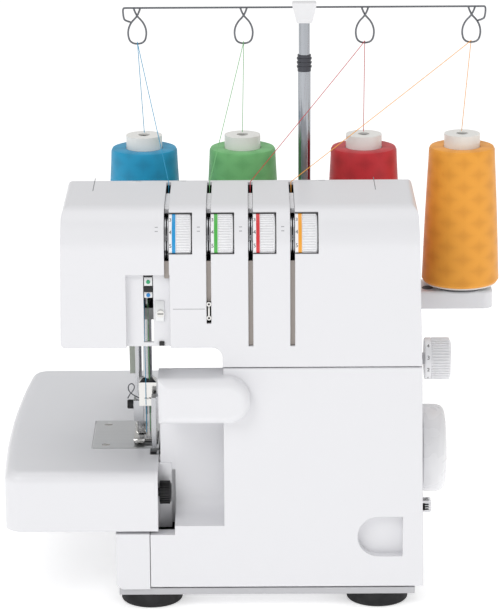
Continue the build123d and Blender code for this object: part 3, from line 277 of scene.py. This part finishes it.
def woundThread(colourName, axisX):
    # polyester sewing thread, cross wound: fine diagonal lines both ways and broad diamond bands
    material, tree, shader = startMaterial(colourName + "WoundPolyester", cone["hex"][colourName], 0.62)
    shader.inputs["Sheen Weight"].default_value = 0.25
    shader.inputs["Sheen Roughness"].default_value = 0.4
    place = addNode(tree, "ShaderNodeTexCoord", {}, {})
    centred = addNode(tree, "ShaderNodeMapping", {},
                      {"Vector": place.outputs["Object"], "Location": mm(-axisX, -cone["standY"], -cone["lowZ"])})
    axes = addNode(tree, "ShaderNodeSeparateXYZ", {}, {"Vector": centred.outputs["Vector"]})
    angle = addNode(tree, "ShaderNodeMath", {"operation": "ARCTAN2"},
                    {0: axes.outputs["X"], 1: axes.outputs["Y"]})
    lines = []
    windings = cone["windings"]
    # broad bands and fine strands, each leaning both ways
    for turns, rise in ((windings, 330), (-windings, 330), (60, 5200), (-60, 5200)):
        around = addNode(tree, "ShaderNodeMath", {"operation": "MULTIPLY"}, {0: angle.outputs[0], 1: turns})
        wave = addNode(tree, "ShaderNodeMath", {"operation": "MULTIPLY_ADD"},
                       {0: axes.outputs["Z"], 1: rise, 2: around.outputs[0]})
        lines.append(addNode(tree, "ShaderNodeMath", {"operation": "SINE"}, {0: wave.outputs[0]}))
    broad = addNode(tree, "ShaderNodeMath", {"operation": "MAXIMUM"},
                    {0: lines[0].outputs[0], 1: lines[1].outputs[0]})
    fine = addNode(tree, "ShaderNodeMath", {"operation": "MAXIMUM"},
                   {0: lines[2].outputs[0], 1: lines[3].outputs[0]})
    both = addNode(tree, "ShaderNodeMath", {"operation": "MULTIPLY_ADD"},
                   {0: fine.outputs[0], 1: 0.35, 2: broad.outputs[0]})
    shade = addNode(tree, "ShaderNodeMapRange", {},
                    {"Value": both.outputs[0], "From Min": -1.6, "From Max": 1.0})
    colour = addNode(tree, "ShaderNodeMix", {"data_type": "RGBA"}, {"Factor": shade.outputs["Result"]})
    colour.inputs[6].default_value = linearColour(cone["dark"][colourName])
    colour.inputs[7].default_value = linearColour(cone["hex"][colourName])
    tree.links.new(colour.outputs[2], shader.inputs["Base Color"])
    bump = addNode(tree, "ShaderNodeBump", {},
                   {"Height": both.outputs[0], "Distance": mm(0.12), "Strength": 0.5})
    tree.links.new(bump.outputs["Normal"], shader.inputs["Normal"])
    return material


def spunThread(colourName, hexText):
    # twisted strand: short slanting flecks along it
    material, tree, shader = startMaterial(colourName + "SpunPolyester", hexText, 0.6)
    shader.inputs["Sheen Weight"].default_value = 0.2
    addGrain(tree, shader, 0.4, 0.02, stretch=(1, 1, 0.3))
    return material


nodeMaterials = (
    (whiteAbs, ("lower_housing", "looper_cover", "top_cover", "cloth_plate", "spool_stand")),
    (whiteGlossAbs, ("guide_holder", "handwheel", "stitch_dial", "differential_lever", "spool_pins")),
    (greyAbs, ("base_tray",)),
    (greyGreenAcetal, ("presser_lifter",)),
    (darkGreyAbs, ("cone_holders",)),
    (blackNylon, ("thread_channels", "knife_knob", "power_inlet", "power_switch", "switch_housing", "motor_pulley",
                  "tension_bracket")),
    (footRubber, ("rubber_feet", "drive_belt")),
    (groundSteel, ("tension_discs", "tension_spindle", "main_shaft", "needle_bar", "presser_bar", "needles",
                   "presser_spring", "feed_dogs", "lower_looper", "upper_looper", "looper_pins", "moving_knife",
                   "fixed_knife", "hinge_pins", "guide_wire", "foot_ankle")),
    (nickelPlate, ("needle_clamp", "clamp_screws", "plate_screws", "presser_foot")),
    (satinStainless, ("needle_plate",)),
    (chromePlate, ("pole_lower_tube", "pole_upper_tube")),
    (darkChrome, ("pole_collar",)),
    (castAluminium, ("main_frame",)),
    (bronzeBush, ("shaft_bushes",)),
    (motorPaint, ("motor",)),
    (lampGlass, ("lamp",)),
    (milkyPolypropylene, ("cone_cores",)),
)
for material, names in nodeMaterials:
    for name in names:
        for materialSlot in nodes[name].material_slots:
            materialSlot.material = material


# ---- modelling helpers
def beginPiece():
    if bpy.context.object and bpy.context.object.mode != "OBJECT":
        bpy.ops.object.mode_set(mode="OBJECT")
    bpy.ops.object.select_all(action="DESELECT")


def settlePiece(piece, name, material, body, angle=40):
    # the place goes into the mesh, and the piece rides on its body
    beginPiece()
    piece.select_set(True)
    bpy.context.view_layer.objects.active = piece
    bpy.ops.object.transform_apply(location=True, rotation=True, scale=True)
    bpy.ops.object.shade_smooth_by_angle(angle=math.radians(angle))
    piece.name = name
    piece.data.materials.clear()
    piece.data.materials.append(material)
    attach(piece, body)
    return piece


def roundedBlock(low, high, radius, segments=3):
    # a bevelled block between two corners, in millimetres
    beginPiece()
    size = [(h - l) / 1000 for l, h in zip(low, high)]
    centre = [(h + l) / 2000 for l, h in zip(low, high)]
    bpy.ops.mesh.primitive_cube_add(size=1, location=centre, scale=size)
    piece = bpy.context.object
    bpy.ops.object.transform_apply(location=True, rotation=True, scale=True)
    bpy.ops.object.mode_set(mode="EDIT")
    bpy.ops.mesh.select_all(action="SELECT")
    bpy.ops.mesh.bevel(offset=mm(radius), segments=segments, affect="EDGES")
    bpy.ops.object.mode_set(mode="OBJECT")
    return piece


def turnedPiece(profile, centre, axis, steps=72):
    # (radius, height) points in millimetres spun round an axis; the profile starts and ends on the axis
    beginPiece()
    outline = bpy.data.meshes.new("outline")
    points = [mm(radius, 0, height) for radius, height in profile]
    outline.from_pydata(points, [(i, i + 1) for i in range(len(points) - 1)], [])
    piece = bpy.data.objects.new("turned", outline)
    bpy.context.collection.objects.link(piece)
    bpy.context.view_layer.objects.active = piece
    piece.select_set(True)
    bpy.ops.object.mode_set(mode="EDIT")
    bpy.ops.mesh.select_all(action="SELECT")
    bpy.ops.mesh.spin(steps=steps, angle=math.tau, center=(0, 0, 0), axis=(0, 0, 1))
    bpy.ops.mesh.select_all(action="SELECT")
    bpy.ops.mesh.remove_doubles(threshold=1e-6)
    bpy.ops.mesh.normals_make_consistent(inside=False)
    bpy.ops.object.mode_set(mode="OBJECT")
    if axis == "X":
        piece.rotation_euler = (0, math.pi / 2, 0)
    if axis == "Y":
        piece.rotation_euler = (-math.pi / 2, 0, 0)
    piece.location = mm(*centre)
    return piece


def extrudedPiece(outline, across, low, high, radius, segments=2):
    # a closed outline in millimetres pushed out along X ("X": points are Y, Z) or Y ("Y": points are X, Z)
    beginPiece()
    sheet = bpy.data.meshes.new("profile")
    if across == "X":
        points = [mm(low, a, b) for a, b in outline]
    else:
        points = [mm(a, low, b) for a, b in outline]
    sheet.from_pydata(points, [], [list(range(len(points)))])
    piece = bpy.data.objects.new("profile", sheet)
    bpy.context.collection.objects.link(piece)
    bpy.context.view_layer.objects.active = piece
    piece.select_set(True)
    bpy.ops.object.mode_set(mode="EDIT")
    bpy.ops.mesh.select_all(action="SELECT")
    push = mm(high - low)
    move = (push, 0, 0) if across == "X" else (0, push, 0)
    bpy.ops.mesh.extrude_region_move(TRANSFORM_OT_translate={"value": move})
    bpy.ops.mesh.select_all(action="SELECT")
    bpy.ops.mesh.normals_make_consistent(inside=False)
    if radius:
        bpy.ops.mesh.bevel(offset=mm(radius), segments=segments, affect="EDGES")
    bpy.ops.object.mode_set(mode="OBJECT")
    return piece


def wirePiece(points, radius):
    # a round wire along points in millimetres
    beginPiece()
    line = bpy.data.curves.new("wire", "CURVE")
    line.dimensions = "3D"
    line.bevel_depth = mm(radius)
    line.bevel_resolution = 3
    line.resolution_u = 8
    line.use_fill_caps = True
    spline = line.splines.new("NURBS")
    spline.points.add(len(points) - 1)
    for point, place in zip(spline.points, points):
        point.co = mm(*place) + (1,)
    spline.order_u = 3
    spline.use_endpoint_u = True
    wire = bpy.data.objects.new("wire", line)
    bpy.context.collection.objects.link(wire)
    bpy.context.view_layer.objects.active = wire
    wire.select_set(True)
    bpy.ops.object.convert(target="MESH")
    return bpy.context.object


def raisedNumber(text, size, place, tilt):
    # a printed number that stands a little proud, facing the front and tilted up by tilt degrees
    beginPiece()
    bpy.ops.object.text_add(location=mm(*place))
    number = bpy.context.object
    number.data.body = text
    number.data.size = mm(size)
    number.data.align_x = "CENTER"
    number.data.align_y = "CENTER"
    number.data.extrude = mm(0.04)
    number.rotation_euler = (math.radians(90 - tilt), 0, 0)
    bpy.ops.object.convert(target="MESH")
    return bpy.context.object


def joinPieces(pieces):
    beginPiece()
    for piece in pieces:
        piece.select_set(True)
    bpy.context.view_layer.objects.active = pieces[0]
    bpy.ops.object.join()
    return bpy.context.object


def ringOf(first, count, centre):
    # copies of a piece round the X axis, joined and moved to the centre
    pieces = [first]
    for i in range(1, count):
        copy = first.copy()
        copy.data = first.data.copy()
        bpy.context.collection.objects.link(copy)
        copy.rotation_euler = (i * math.tau / count, 0, 0)
        pieces.append(copy)
    ring = joinPieces(pieces)
    ring.location = mm(*centre)
    return ring


# ---- thread cones
print("thread cones")
for colourName, offset in cone["offsets"].items():
    axisX = cone["standX"] + offset
    rim = cone["coreRadius"] + 3.6
    profile = [(rim - 0.2, 1.2), (cone["lowRadius"] - 4, 0.4), (cone["lowRadius"] - 1.2, 0.2),
               (cone["lowRadius"], 2.2)]
    height = cone["topZ"] - cone["lowZ"]
    rows = 14
    for i in range(1, rows):
        share = i / rows
        swell = 0.35 * math.sin(math.pi * share)      # the winding is slightly fuller in the middle
        profile.append((cone["lowRadius"] + share * (cone["topRadius"] - cone["lowRadius"]) + swell - 0.1,
                        2.2 + share * (height - 5)))
    profile += [(cone["topRadius"], height - 2.6), (cone["topRadius"] - 0.9, height - 0.8),
                (cone["topRadius"] - 3, height - 0.1), (cone["coreRadius"] + 0.2, height - 0.6)]
    profile.append(profile[0])
    piece = turnedPiece(profile, (axisX, cone["standY"], cone["lowZ"]), "Z", 96)
    settlePiece(piece, "woundCone" + colourName.capitalize(), woundThread(colourName, axisX), "machine", 30)
    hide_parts("thread_cone_" + colourName)

# ---- tension dials
print("tension dials")
dial = {
    "slotXs": (-65.3, -34.6, -3.9, 26.8), "slotWidth": 3.5, "width": 16.3, "radius": 22.6,
    "axisY": -104.0, "axisZ": 282.7, "tilt": 26.0, "step": 25.4,
    "stripeStart": 2.4, "stripeEnd": 5.0, "ribs": 72, "bore": 6.2, "numberSize": 4.0,
    "windowWidth": 17.1, "windowLow": 8.0, "windowHigh": 60.0,
    "roundY": -99.5, "roundZ": 280.5, "roundRadius": 27.0,
    "hex": {"blue": "#1892CE", "green": "#4DB04A", "red": "#D23036", "orange": "#EFA331"},
}


def dialStripe(colourName):
    # pad-printed band on the dial
    material, tree, shader = startMaterial(colourName + "PadPrint", dial["hex"][colourName], 0.35)
    addGrain(tree, shader, 0.6, 0.003)
    return material


def arcPoints(centre, radius, start, end, count):
    # (Y, Z) points in millimetres on an arc over the front edge, angles in degrees above the horizontal
    angles = [math.radians(start + (end - start) * i / (count - 1)) for i in range(count)]
    return [(centre[0] - radius * math.cos(a), centre[1] + radius * math.sin(a)) for a in angles]


for slotX, colourName in zip(dial["slotXs"], dial["hex"]):
    left = slotX + dial["slotWidth"] / 2
    right = left + dial["width"]
    centre = (0, dial["axisY"], dial["axisZ"])
    bore = dial["bore"]
    radius = dial["radius"]
    drum = turnedPiece([(bore, left), (radius - 0.6, left), (radius - 0.1, left + 0.5),
                        (radius - 0.1, left + 5.4),
                        (radius - 0.9, left + 5.6), (radius - 0.9, right - 0.6), (radius - 1.4, right),
                        (bore, right), (bore, left)], centre, "X", 96)
    settlePiece(drum, "dialDrum" + colourName.capitalize(), whiteGlossAbs, "dial_" + colourName, 30)
    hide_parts("tension_dial_" + colourName)
    firstRib = roundedBlock((left + 5.5, -0.55, radius - 1.6), (right - 0.7, 0.55, radius - 0.05), 0.4, 2)
    ribRing = ringOf(firstRib, dial["ribs"], centre)
    settlePiece(ribRing, "dialRibs" + colourName.capitalize(), whiteGlossAbs, "dial_" + colourName, 30)
    stripe = turnedPiece([(radius - 0.3, left + dial["stripeStart"]), (radius - 0.02, left + dial["stripeStart"]),
                          (radius - 0.02, left + dial["stripeEnd"]), (radius - 0.3, left + dial["stripeEnd"]),
                          (radius - 0.3, left + dial["stripeStart"])], centre, "X", 96)
    settlePiece(stripe, "dialStripe" + colourName.capitalize(), dialStripe(colourName), "dial_" + colourName, 30)
    numbers = []
    for value in range(10):
        tilt = dial["tilt"] + (4 - value) * dial["step"]
        out = radius - 0.1
        place = (left + 1.25, dial["axisY"] - out * math.cos(math.radians(tilt)),
                 dial["axisZ"] + out * math.sin(math.radians(tilt)))
        numbers.append(raisedNumber(str(value), dial["numberSize"], place, tilt))
    settlePiece(joinPieces(numbers), "dialNumbers" + colourName.capitalize(), printInkAndPaintedShade, "dial_" + colourName)

# painted shade in the gaps round the dial windows (black strips) and at the backs of the thread slots (brown-grey
# sheets); the index marks and the floors of the thread slots
print("dial windows")
shadeParts = []
markParts = []
floorParts = []
backParts = []
slotLows = (258.0, 240.5, 206.8, 206.8)
for slotX, slotLow in zip(dial["slotXs"], slotLows):
    left = slotX + dial["slotWidth"] / 2
    right = left + dial["windowWidth"]
    roundCentre = (dial["roundY"], dial["roundZ"])
    shadeStart = dial["windowHigh"] - 0.4
    shadeEnd = dial["windowHigh"] + 1.4
    outline = arcPoints(roundCentre, dial["roundRadius"] + 0.04, shadeStart, shadeEnd, 4)
    outline += arcPoints(roundCentre, dial["roundRadius"] - 0.25, shadeEnd, shadeStart, 4)
    shadeParts.append(extrudedPiece(outline, "X", left + 0.1, right, 0))
    shadeParts.append(roundedBlock((left + 0.1, -126.56, 276.8), (right, -126.44, 277.5), 0.03, 1))
    outline = arcPoints(roundCentre, dial["roundRadius"] - 0.9, dial["windowLow"], dial["windowHigh"], 24)
    outline += arcPoints(roundCentre, dial["roundRadius"] - 3.4, dial["windowHigh"], dial["windowLow"], 24)
    shadeParts.append(extrudedPiece(outline, "X", left + dial["width"] + 0.1, right, 0))
    for middleAngle in (28.1, 34.8):
        outline = arcPoints(roundCentre, dial["roundRadius"] + 0.03, middleAngle - 0.6, middleAngle + 0.6, 3)
        outline += arcPoints(roundCentre, dial["roundRadius"] - 0.4, middleAngle + 0.6, middleAngle - 0.6, 3)
        markParts.append(extrudedPiece(outline, "X", slotX - 8.3, slotX - 6.1, 0))
    floorParts.append(roundedBlock((slotX - 1.7, -101.0, 301.0), (slotX + 1.7, -54.0, 304.6), 0.2, 1))
    # painted shade: a brown-grey sheet just inside each slot
    backParts.append(roundedBlock((slotX - 1.7, -124.3, slotLow), (slotX + 1.7, -123.2, 271.0), 0.1, 1))
settlePiece(joinPieces(shadeParts), "windowShades", printInkAndPaintedShade, "machine")
settlePiece(joinPieces(markParts), "dialIndexMarks", greyInk, "machine")
settlePiece(joinPieces(floorParts), "slotFloors", whiteGlossAbs, "machine")
settlePiece(joinPieces(backParts), "slotBacks", slotPaintedShade, "machine")

# ---- thread guide on the pole
print("thread guide")
guide = {
    "x": 38.5, "y": 48.5, "z": 426.5, "half": 140.0, "wire": 0.75,
    "loops": (-129.0, -46.8, 46.8, 129.0), "loopHalf": 6.6, "loopHeight": 28.0, "spread": 2.6, "hookDrop": 11.0,
    "travel": 24.0,
}
hookSteps = ((6, 0), (2, 1), (0.6, 3), (0, guide["hookDrop"]), (3, guide["hookDrop"]))     # inwards, up
leftEnd = [(guide["x"] - guide["half"] + inward, guide["y"], guide["z"] - guide["hookDrop"] + up)
           for inward, up in hookSteps]
rightEnd = [(guide["x"] + guide["half"] - inward, guide["y"], guide["z"] - guide["hookDrop"] + up)
            for inward, up in reversed(hookSteps)]
wires = [wirePiece(leftEnd + rightEnd, guide["wire"])]
for loop in guide["loops"]:
    x = guide["x"] + loop
    half = guide["loopHalf"]
    top = guide["z"] - guide["wire"]
    low = guide["z"] - guide["loopHeight"]
    wires.append(wirePiece([(x - guide["spread"], guide["y"] + 0.5, top + 0.6), (x - 1, guide["y"] + 0.9, top - 5),
                            (x + half * 0.8, guide["y"] + 0.4, top - 11), (x + half * 1.15, guide["y"], top - 19),
                            (x + half * 0.8, guide["y"], low), (x - half * 0.8, guide["y"], low),
                            (x - half * 1.15, guide["y"], top - 19), (x - half * 0.8, guide["y"] - 0.4, top - 11),
                            (x + 1, guide["y"] - 0.9, top - 5), (x + guide["spread"], guide["y"] - 0.5, top + 0.6)],
                           guide["wire"]))
guideWire = joinPieces(wires)
settlePiece(guideWire, "guideWire", blueSteelWire, "guide")
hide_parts("guide_wire")

# ---- threads from the cones over the guide into the slots
print("threads")
strand = {
    "radius": 0.28, "capTop": 326.9, "loopTop": 399.9, "entryY": -34.5, "entryZ": 308.3,
    "insideY": -50.5, "insideZ": 294.4,
}
for i, colourName in enumerate(cone["offsets"]):
    threadMaterial = spunThread(colourName, cone["hex"][colourName])
    capX = cone["standX"] + cone["offsets"][colourName]
    loopX = guide["x"] + guide["loops"][i]
    slotX = dial["slotXs"][i]
    rise = wirePiece([(capX, cone["standY"] + 6, strand["capTop"]), (loopX, guide["y"] + 1.4, strand["loopTop"] - 0.6),
                      (loopX, guide["y"], strand["loopTop"])], strand["radius"])
    settlePiece(rise, "risingThread" + colourName.capitalize(), threadMaterial, "machine")
    height = strand["loopTop"] - strand["capTop"]
    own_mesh(rise)
    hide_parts("threads")
    fall = wirePiece([(loopX, guide["y"], strand["loopTop"]), (loopX, guide["y"] - 1.4, strand["loopTop"] - 0.6),
                      (slotX, strand["entryY"], strand["entryZ"])], strand["radius"])
    settlePiece(fall, "fallingThread" + colourName.capitalize(), threadMaterial, "machine")
    height = strand["loopTop"] - strand["entryZ"]
    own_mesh(fall)
    inside = wirePiece([(slotX, strand["entryY"], strand["entryZ"]), (slotX, strand["entryY"] - 2, strand["entryZ"] - 2),
                        (slotX, strand["insideY"], strand["insideZ"])], strand["radius"])
    settlePiece(inside, "slotThread" + colourName.capitalize(), threadMaterial, "machine")

# ---- controls on the right side
print("controls")
wheel = {"left": 127.0, "width": 18.3, "radius": 33.9, "y": -36.5, "z": 97.0, "hub": 11.0}
left, right = wheel["left"], wheel["left"] + wheel["width"]
rim = wheel["radius"]
wheelPiece = turnedPiece([(0, left + 2), (5, left + 2), (5.6, left), (rim - 2.4, left), (rim - 0.7, left + 0.7),
                          (rim, left + 2.4), (rim, left + 11), (rim - 1.2, right - 3.2), (rim - 3.6, right - 0.8),
                          (rim - 6.4, right), (rim - 9, right - 0.4), (rim - 10.4, right - 2.6),
                          (wheel["hub"] + 2, right - 3.2),
                          (wheel["hub"], right - 1.4), (wheel["hub"] - 1.4, right - 0.9), (0, right - 0.6)],
                         (0, wheel["y"], wheel["z"]), "X", 128)
settlePiece(wheelPiece, "handWheel", whiteGlossAbs, "shaft", 32)
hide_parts("handwheel")

lengthDial = {"left": 127.0, "right": 147.0, "collar": 4.6, "radius": 16.0, "y": -66.5, "z": 178.2, "ribs": 44,
              "step": 34.0, "shaft": 4.4}
left, right, radius = lengthDial["left"], lengthDial["right"], lengthDial["radius"]
centre = (0, lengthDial["y"], lengthDial["z"])
core = turnedPiece([(0, left - 14), (lengthDial["shaft"], left - 14), (lengthDial["shaft"], left),
                    (radius - 0.5, left), (radius, left + 0.6), (radius, left + lengthDial["collar"]),
                    (radius - 0.9, left + lengthDial["collar"] + 0.4),
                    (radius - 0.9, right - 1.6), (radius - 2.2, right - 0.2), (radius - 4, right), (4, right - 0.5),
                    (0, right - 0.5)], centre, "X", 96)
settlePiece(core, "stitchLengthDial", whiteGlossAbs, "stitch_length", 32)
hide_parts("stitch_dial")
rib = roundedBlock((left + lengthDial["collar"] + 0.5, -0.62, radius - 1.8), (right - 1.2, 0.62, radius), 0.45, 2)
ribs = ringOf(rib, lengthDial["ribs"], centre)
settlePiece(ribs, "stitchLengthRibs", whiteGlossAbs, "stitch_length", 32)
numbers = []
for i, text in enumerate(("4", "3", "2", "1")):
    tilt = 52 - i * lengthDial["step"]
    out = radius + 0.01
    place = (left + 2.4, lengthDial["y"] - out * math.cos(math.radians(tilt)),
             lengthDial["z"] + out * math.sin(math.radians(tilt)))
    numbers.append(raisedNumber(text, 4.2, place, tilt))
settlePiece(joinPieces(numbers), "stitchLengthNumbers", printInkAndPaintedShade, "stitch_length")

lever = {"low": (124.9, -81.5, 60.2), "high": (132.3, -71.5, 68.8), "ribs": 4}
leverPiece = roundedBlock(lever["low"], lever["high"], 1.4)
leverRibs = [leverPiece]
for i in range(lever["ribs"]):
    z = lever["low"][2] + 1.5 + 1.9 * i
    leverRibs.append(roundedBlock((127.9, -81.9, z - 0.35), (132.9, -71.4, z + 0.35), 0.3, 2))
settlePiece(joinPieces(leverRibs), "differentialGrip", whiteGlossAbs, "differential")

knob = {"left": -73.2, "right": -64.2, "radius": 8.8, "y": -107.5, "z": 86.7, "ribs": 26, "shaftEnd": -86.0}
left, right, radius = knob["left"], knob["right"], knob["radius"]
centre = (0, knob["y"], knob["z"])
core = turnedPiece([(0, knob["shaftEnd"]), (3, knob["shaftEnd"]), (3, left), (radius - 1.1, left),
                    (radius - 0.9, left + 0.6),
                    (radius - 0.9, right - 1.2), (radius - 2.2, right), (0, right)], centre, "X", 72)
settlePiece(core, "knifeKnobCore", blackNylon, "knife_release", 32)
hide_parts("knife_knob")
rib = roundedBlock((left + 0.2, -0.55, radius - 1.6), (right - 1.0, 0.55, radius), 0.35, 2)
settlePiece(ringOf(rib, knob["ribs"], centre), "knifeKnobRibs", blackNylon, "knife_release", 32)

# ---- presser foot
print("presser foot")
foot = {"left": -94.0, "right": -76.5, "slotLeft": -85.4, "slotRight": -79.4, "toe": -64.5, "heel": -28.5,
        "sole": 108.9,
        "hingeY": -32.5, "hingeZ": 115.4}
sole = foot["sole"]
proud = [(foot["toe"] + 1.5, sole + 3.2), (foot["toe"] + 3, sole + 1.1), (foot["toe"] + 6, sole + 0.1), (-52, sole),
         (-52, sole + 2.4), (foot["toe"] + 7, sole + 2.5), (foot["toe"] + 4, sole + 3.4), (foot["toe"] + 2.2, sole + 4.8)]
plain = [(-52.4, sole), (foot["heel"] - 1, sole), (foot["heel"], sole + 1), (foot["heel"], sole + 2),
         (foot["heel"] - 0.6, sole + 2.5), (-52.4, sole + 2.5)]
footParts = [extrudedPiece(proud, "X", foot["left"], foot["slotLeft"], 0.35),
             extrudedPiece(proud, "X", foot["slotRight"], foot["right"], 0.35),
             extrudedPiece(plain, "X", foot["left"], foot["right"], 0.35)]
for low, high in ((-92.8, -91.2), (-86.3, -84.7)):
    ear = [(foot["hingeY"] - 4.5, sole + 2), (foot["hingeY"] + 3.8, sole + 2), (foot["hingeY"] + 2.4, foot["hingeZ"] + 2),
           (foot["hingeY"], foot["hingeZ"] + 2.9), (foot["hingeY"] - 2.4, foot["hingeZ"] + 2)]
    footParts.append(extrudedPiece(ear, "X", low, high, 0.3))
footParts.append(turnedPiece([(0, -93.4), (1.3, -93.4), (1.3, -92.8), (0.95, -92.8), (0.95, -84.7), (1.3, -84.7),
                              (1.3, -84.1), (0, -84.1)], (0, foot["hingeY"], foot["hingeZ"]), "X", 32))
footPiece = joinPieces(footParts)
settlePiece(footPiece, "presserFoot", nickelPlate, "foot", 30)
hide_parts("presser_foot")

thumbScrew = turnedPiece([(0, -98.8), (3.1, -98.8), (3.5, -98.2), (3.5, -94.4), (3.1, -93.8), (0, -93.8)],
                         (0, -47.5, 137.0), "X", 48)
settlePiece(thumbScrew, "ankleThumbScrew", blackNylon, "presser_unit", 30)
curl = wirePiece([(-88, -53, 143), (-92, -54, 145), (-97, -55, 149), (-98, -56, 154), (-95, -57, 157), (-92.5, -56, 154),
                  (-94, -55, 150), (-97, -56, 147), (-98, -58, 145)], 0.45)
settlePiece(curl, "footThreadCurl", blueSteelWire, "presser_unit")

# ---- recess of the head
print("needle bar channel")
head = {"front": -126.5, "back": -121.5, "channelX": -79.0, "halfWidth": 3.1}
middle, half = head["channelX"], head["halfWidth"]
blocks = [roundedBlock((middle - half - 0.4, head["back"] - 1.2, 258.3),
                       (middle + half + 0.4, head["back"] + 2.3, 262.3), 0.3),
          roundedBlock((middle - half, head["back"] - 0.6, 247.1), (middle + half, head["back"] + 2.3, 251.1), 0.3)]
settlePiece(joinPieces(blocks), "barGuideBlocks", blackNylon, "machine")
takeUp = roundedBlock((middle - half, head["back"] + 0.3, 251.2), (middle + half, head["back"] + 2.2, 258.2), 0.4)
settlePiece(takeUp, "threadTakeUpPlate", satinStainless, "machine")
for name, hexText, z in (("greenThreadMark", "#2E9E6B", 254.6), ("blueThreadMark", "#1F7FC4", 244.6)):
    mark = turnedPiece([(0, 0), (1.5, 0), (1.5, 0.5), (1.2, 0.9), (0, 0.9)], (middle, head["back"] - 0.5, z), "Y", 32)
    markInk, tree, shader = startMaterial(name + "Print", hexText, 0.4)
    addGrain(tree, shader, 0.5, 0.002)
    settlePiece(mark, name, markInk, "machine", 30)
markSeat = roundedBlock((middle - half, head["back"] + 0.2, 242.4), (middle + half, head["back"] + 2.2, 247.0), 0.4)
settlePiece(markSeat, "blueMarkSeat", satinStainless, "machine")
guidePlate = roundedBlock((-74.2, head["back"] - 0.9, 224.5), (-67.4, head["back"] + 0.2, 240.6), 0.35)
settlePiece(guidePlate, "threadGuidePlate", satinStainless, "machine")
screw = turnedPiece([(0, 0), (2.7, 0), (2.7, 1.0), (2.2, 1.5), (0, 1.5)], (-70.2, head["back"] - 2.3, 230.8), "Y", 48)
settlePiece(screw, "guidePlateScrew", nickelPlate, "machine", 30)
# painted shade: a black strip in place of the screw's slot
slotInlay = roundedBlock((-72.4, head["back"] - 2.45, 230.45), (-68.0, head["back"] - 2.2, 231.15), 0.05, 1)
settlePiece(slotInlay, "guidePlateScrewSlot", printInkAndPaintedShade, "machine")
lowGuide = roundedBlock((-71.4, head["back"] - 1.6, 206.2), (-67.6, head["back"] + 0.3, 209.4), 0.4)
settlePiece(lowGuide, "lowerThreadGuide", blackNylon, "machine")

# threads from the head to the needles
needleThreads = (("needleThreadBlue", "blue", -83.9, -59.7), ("needleThreadGreen", "green", -81.1, -57.3))
for name, colourName, x, y in needleThreads:
    strandPiece = wirePiece([(x - 0.3, -66.4, 226), (x - 0.2, -66.4, 180), (x, y - 4.2, 160), (x, y - 6.9, 156),
                             (x, y - 6.9, 143), (x, y - 1.1, 139), (x, y - 0.8, 120), (x, y - 0.4, 118.6)], 0.28)
    settlePiece(strandPiece, name, spunThread(name, cone["hex"][colourName]), "needle_unit")

# inner panel of the casing behind the knife knob
knobPanel = roundedBlock((-75.4, -97.6, 55.0), (-64.15, -96.1, 106.6), 0.3, 2)
settlePiece(knobPanel, "knobPanel", whiteAbs, "machine")

# ---- fittings of the casing
print("casing fittings")
seamShade, tree, shader = startMaterial("shadowGapGrey", "#77777B", 0.6)     # the dark line of a moulded joint
addGrain(tree, shader, 0.6, 0.004)
seams = [roundedBlock((-121.9, -57, 307.3), (-121.3, -17, 307.56), 0.08, 1),
         roundedBlock((89.5, -57, 307.3), (90.1, -17, 307.56), 0.08, 1),
         roundedBlock((-61.0, -126.56, 235.0), (-37.5, -126.3, 235.35), 0.06, 1)]
settlePiece(joinPieces(seams), "casingSeams", seamShade, "machine")
topGuides = []
for x in (-89.8, -56.0, 49.3):
    topGuides.append(roundedBlock((x - 3.6, -28.0, 307.2), (x + 3.6, -26.4, 307.9), 0.3, 2))
settlePiece(joinPieces(topGuides), "topThreadGuides", satinStainless, "machine")
eyeletRing = [(0.8, 0), (1.7, 0), (1.9, 0.5), (1.7, 1), (0.8, 1), (0.6, 0.5), (0.8, 0)]
eyelet = [turnedPiece(eyeletRing, (-34.6, -127.2, z), "Y", 32) for z in (228.4, 238.9)]
eyelet.append(roundedBlock((-35.3, -127.0, 229.5), (-33.9, -126.2, 237.8), 0.3, 2))
settlePiece(joinPieces(eyelet), "slotEyelet", nickelPlate, "machine", 30)
boss = turnedPiece([(0, 0), (4.4, 0), (4.4, 0.5), (3.8, 0.9), (0, 0.9)], (135.5, 40.5, 203.45), "Z", 48)
settlePiece(boss, "standScrewCap", darkGreyAbs, "machine", 30)

# ---- finish
print("finish")
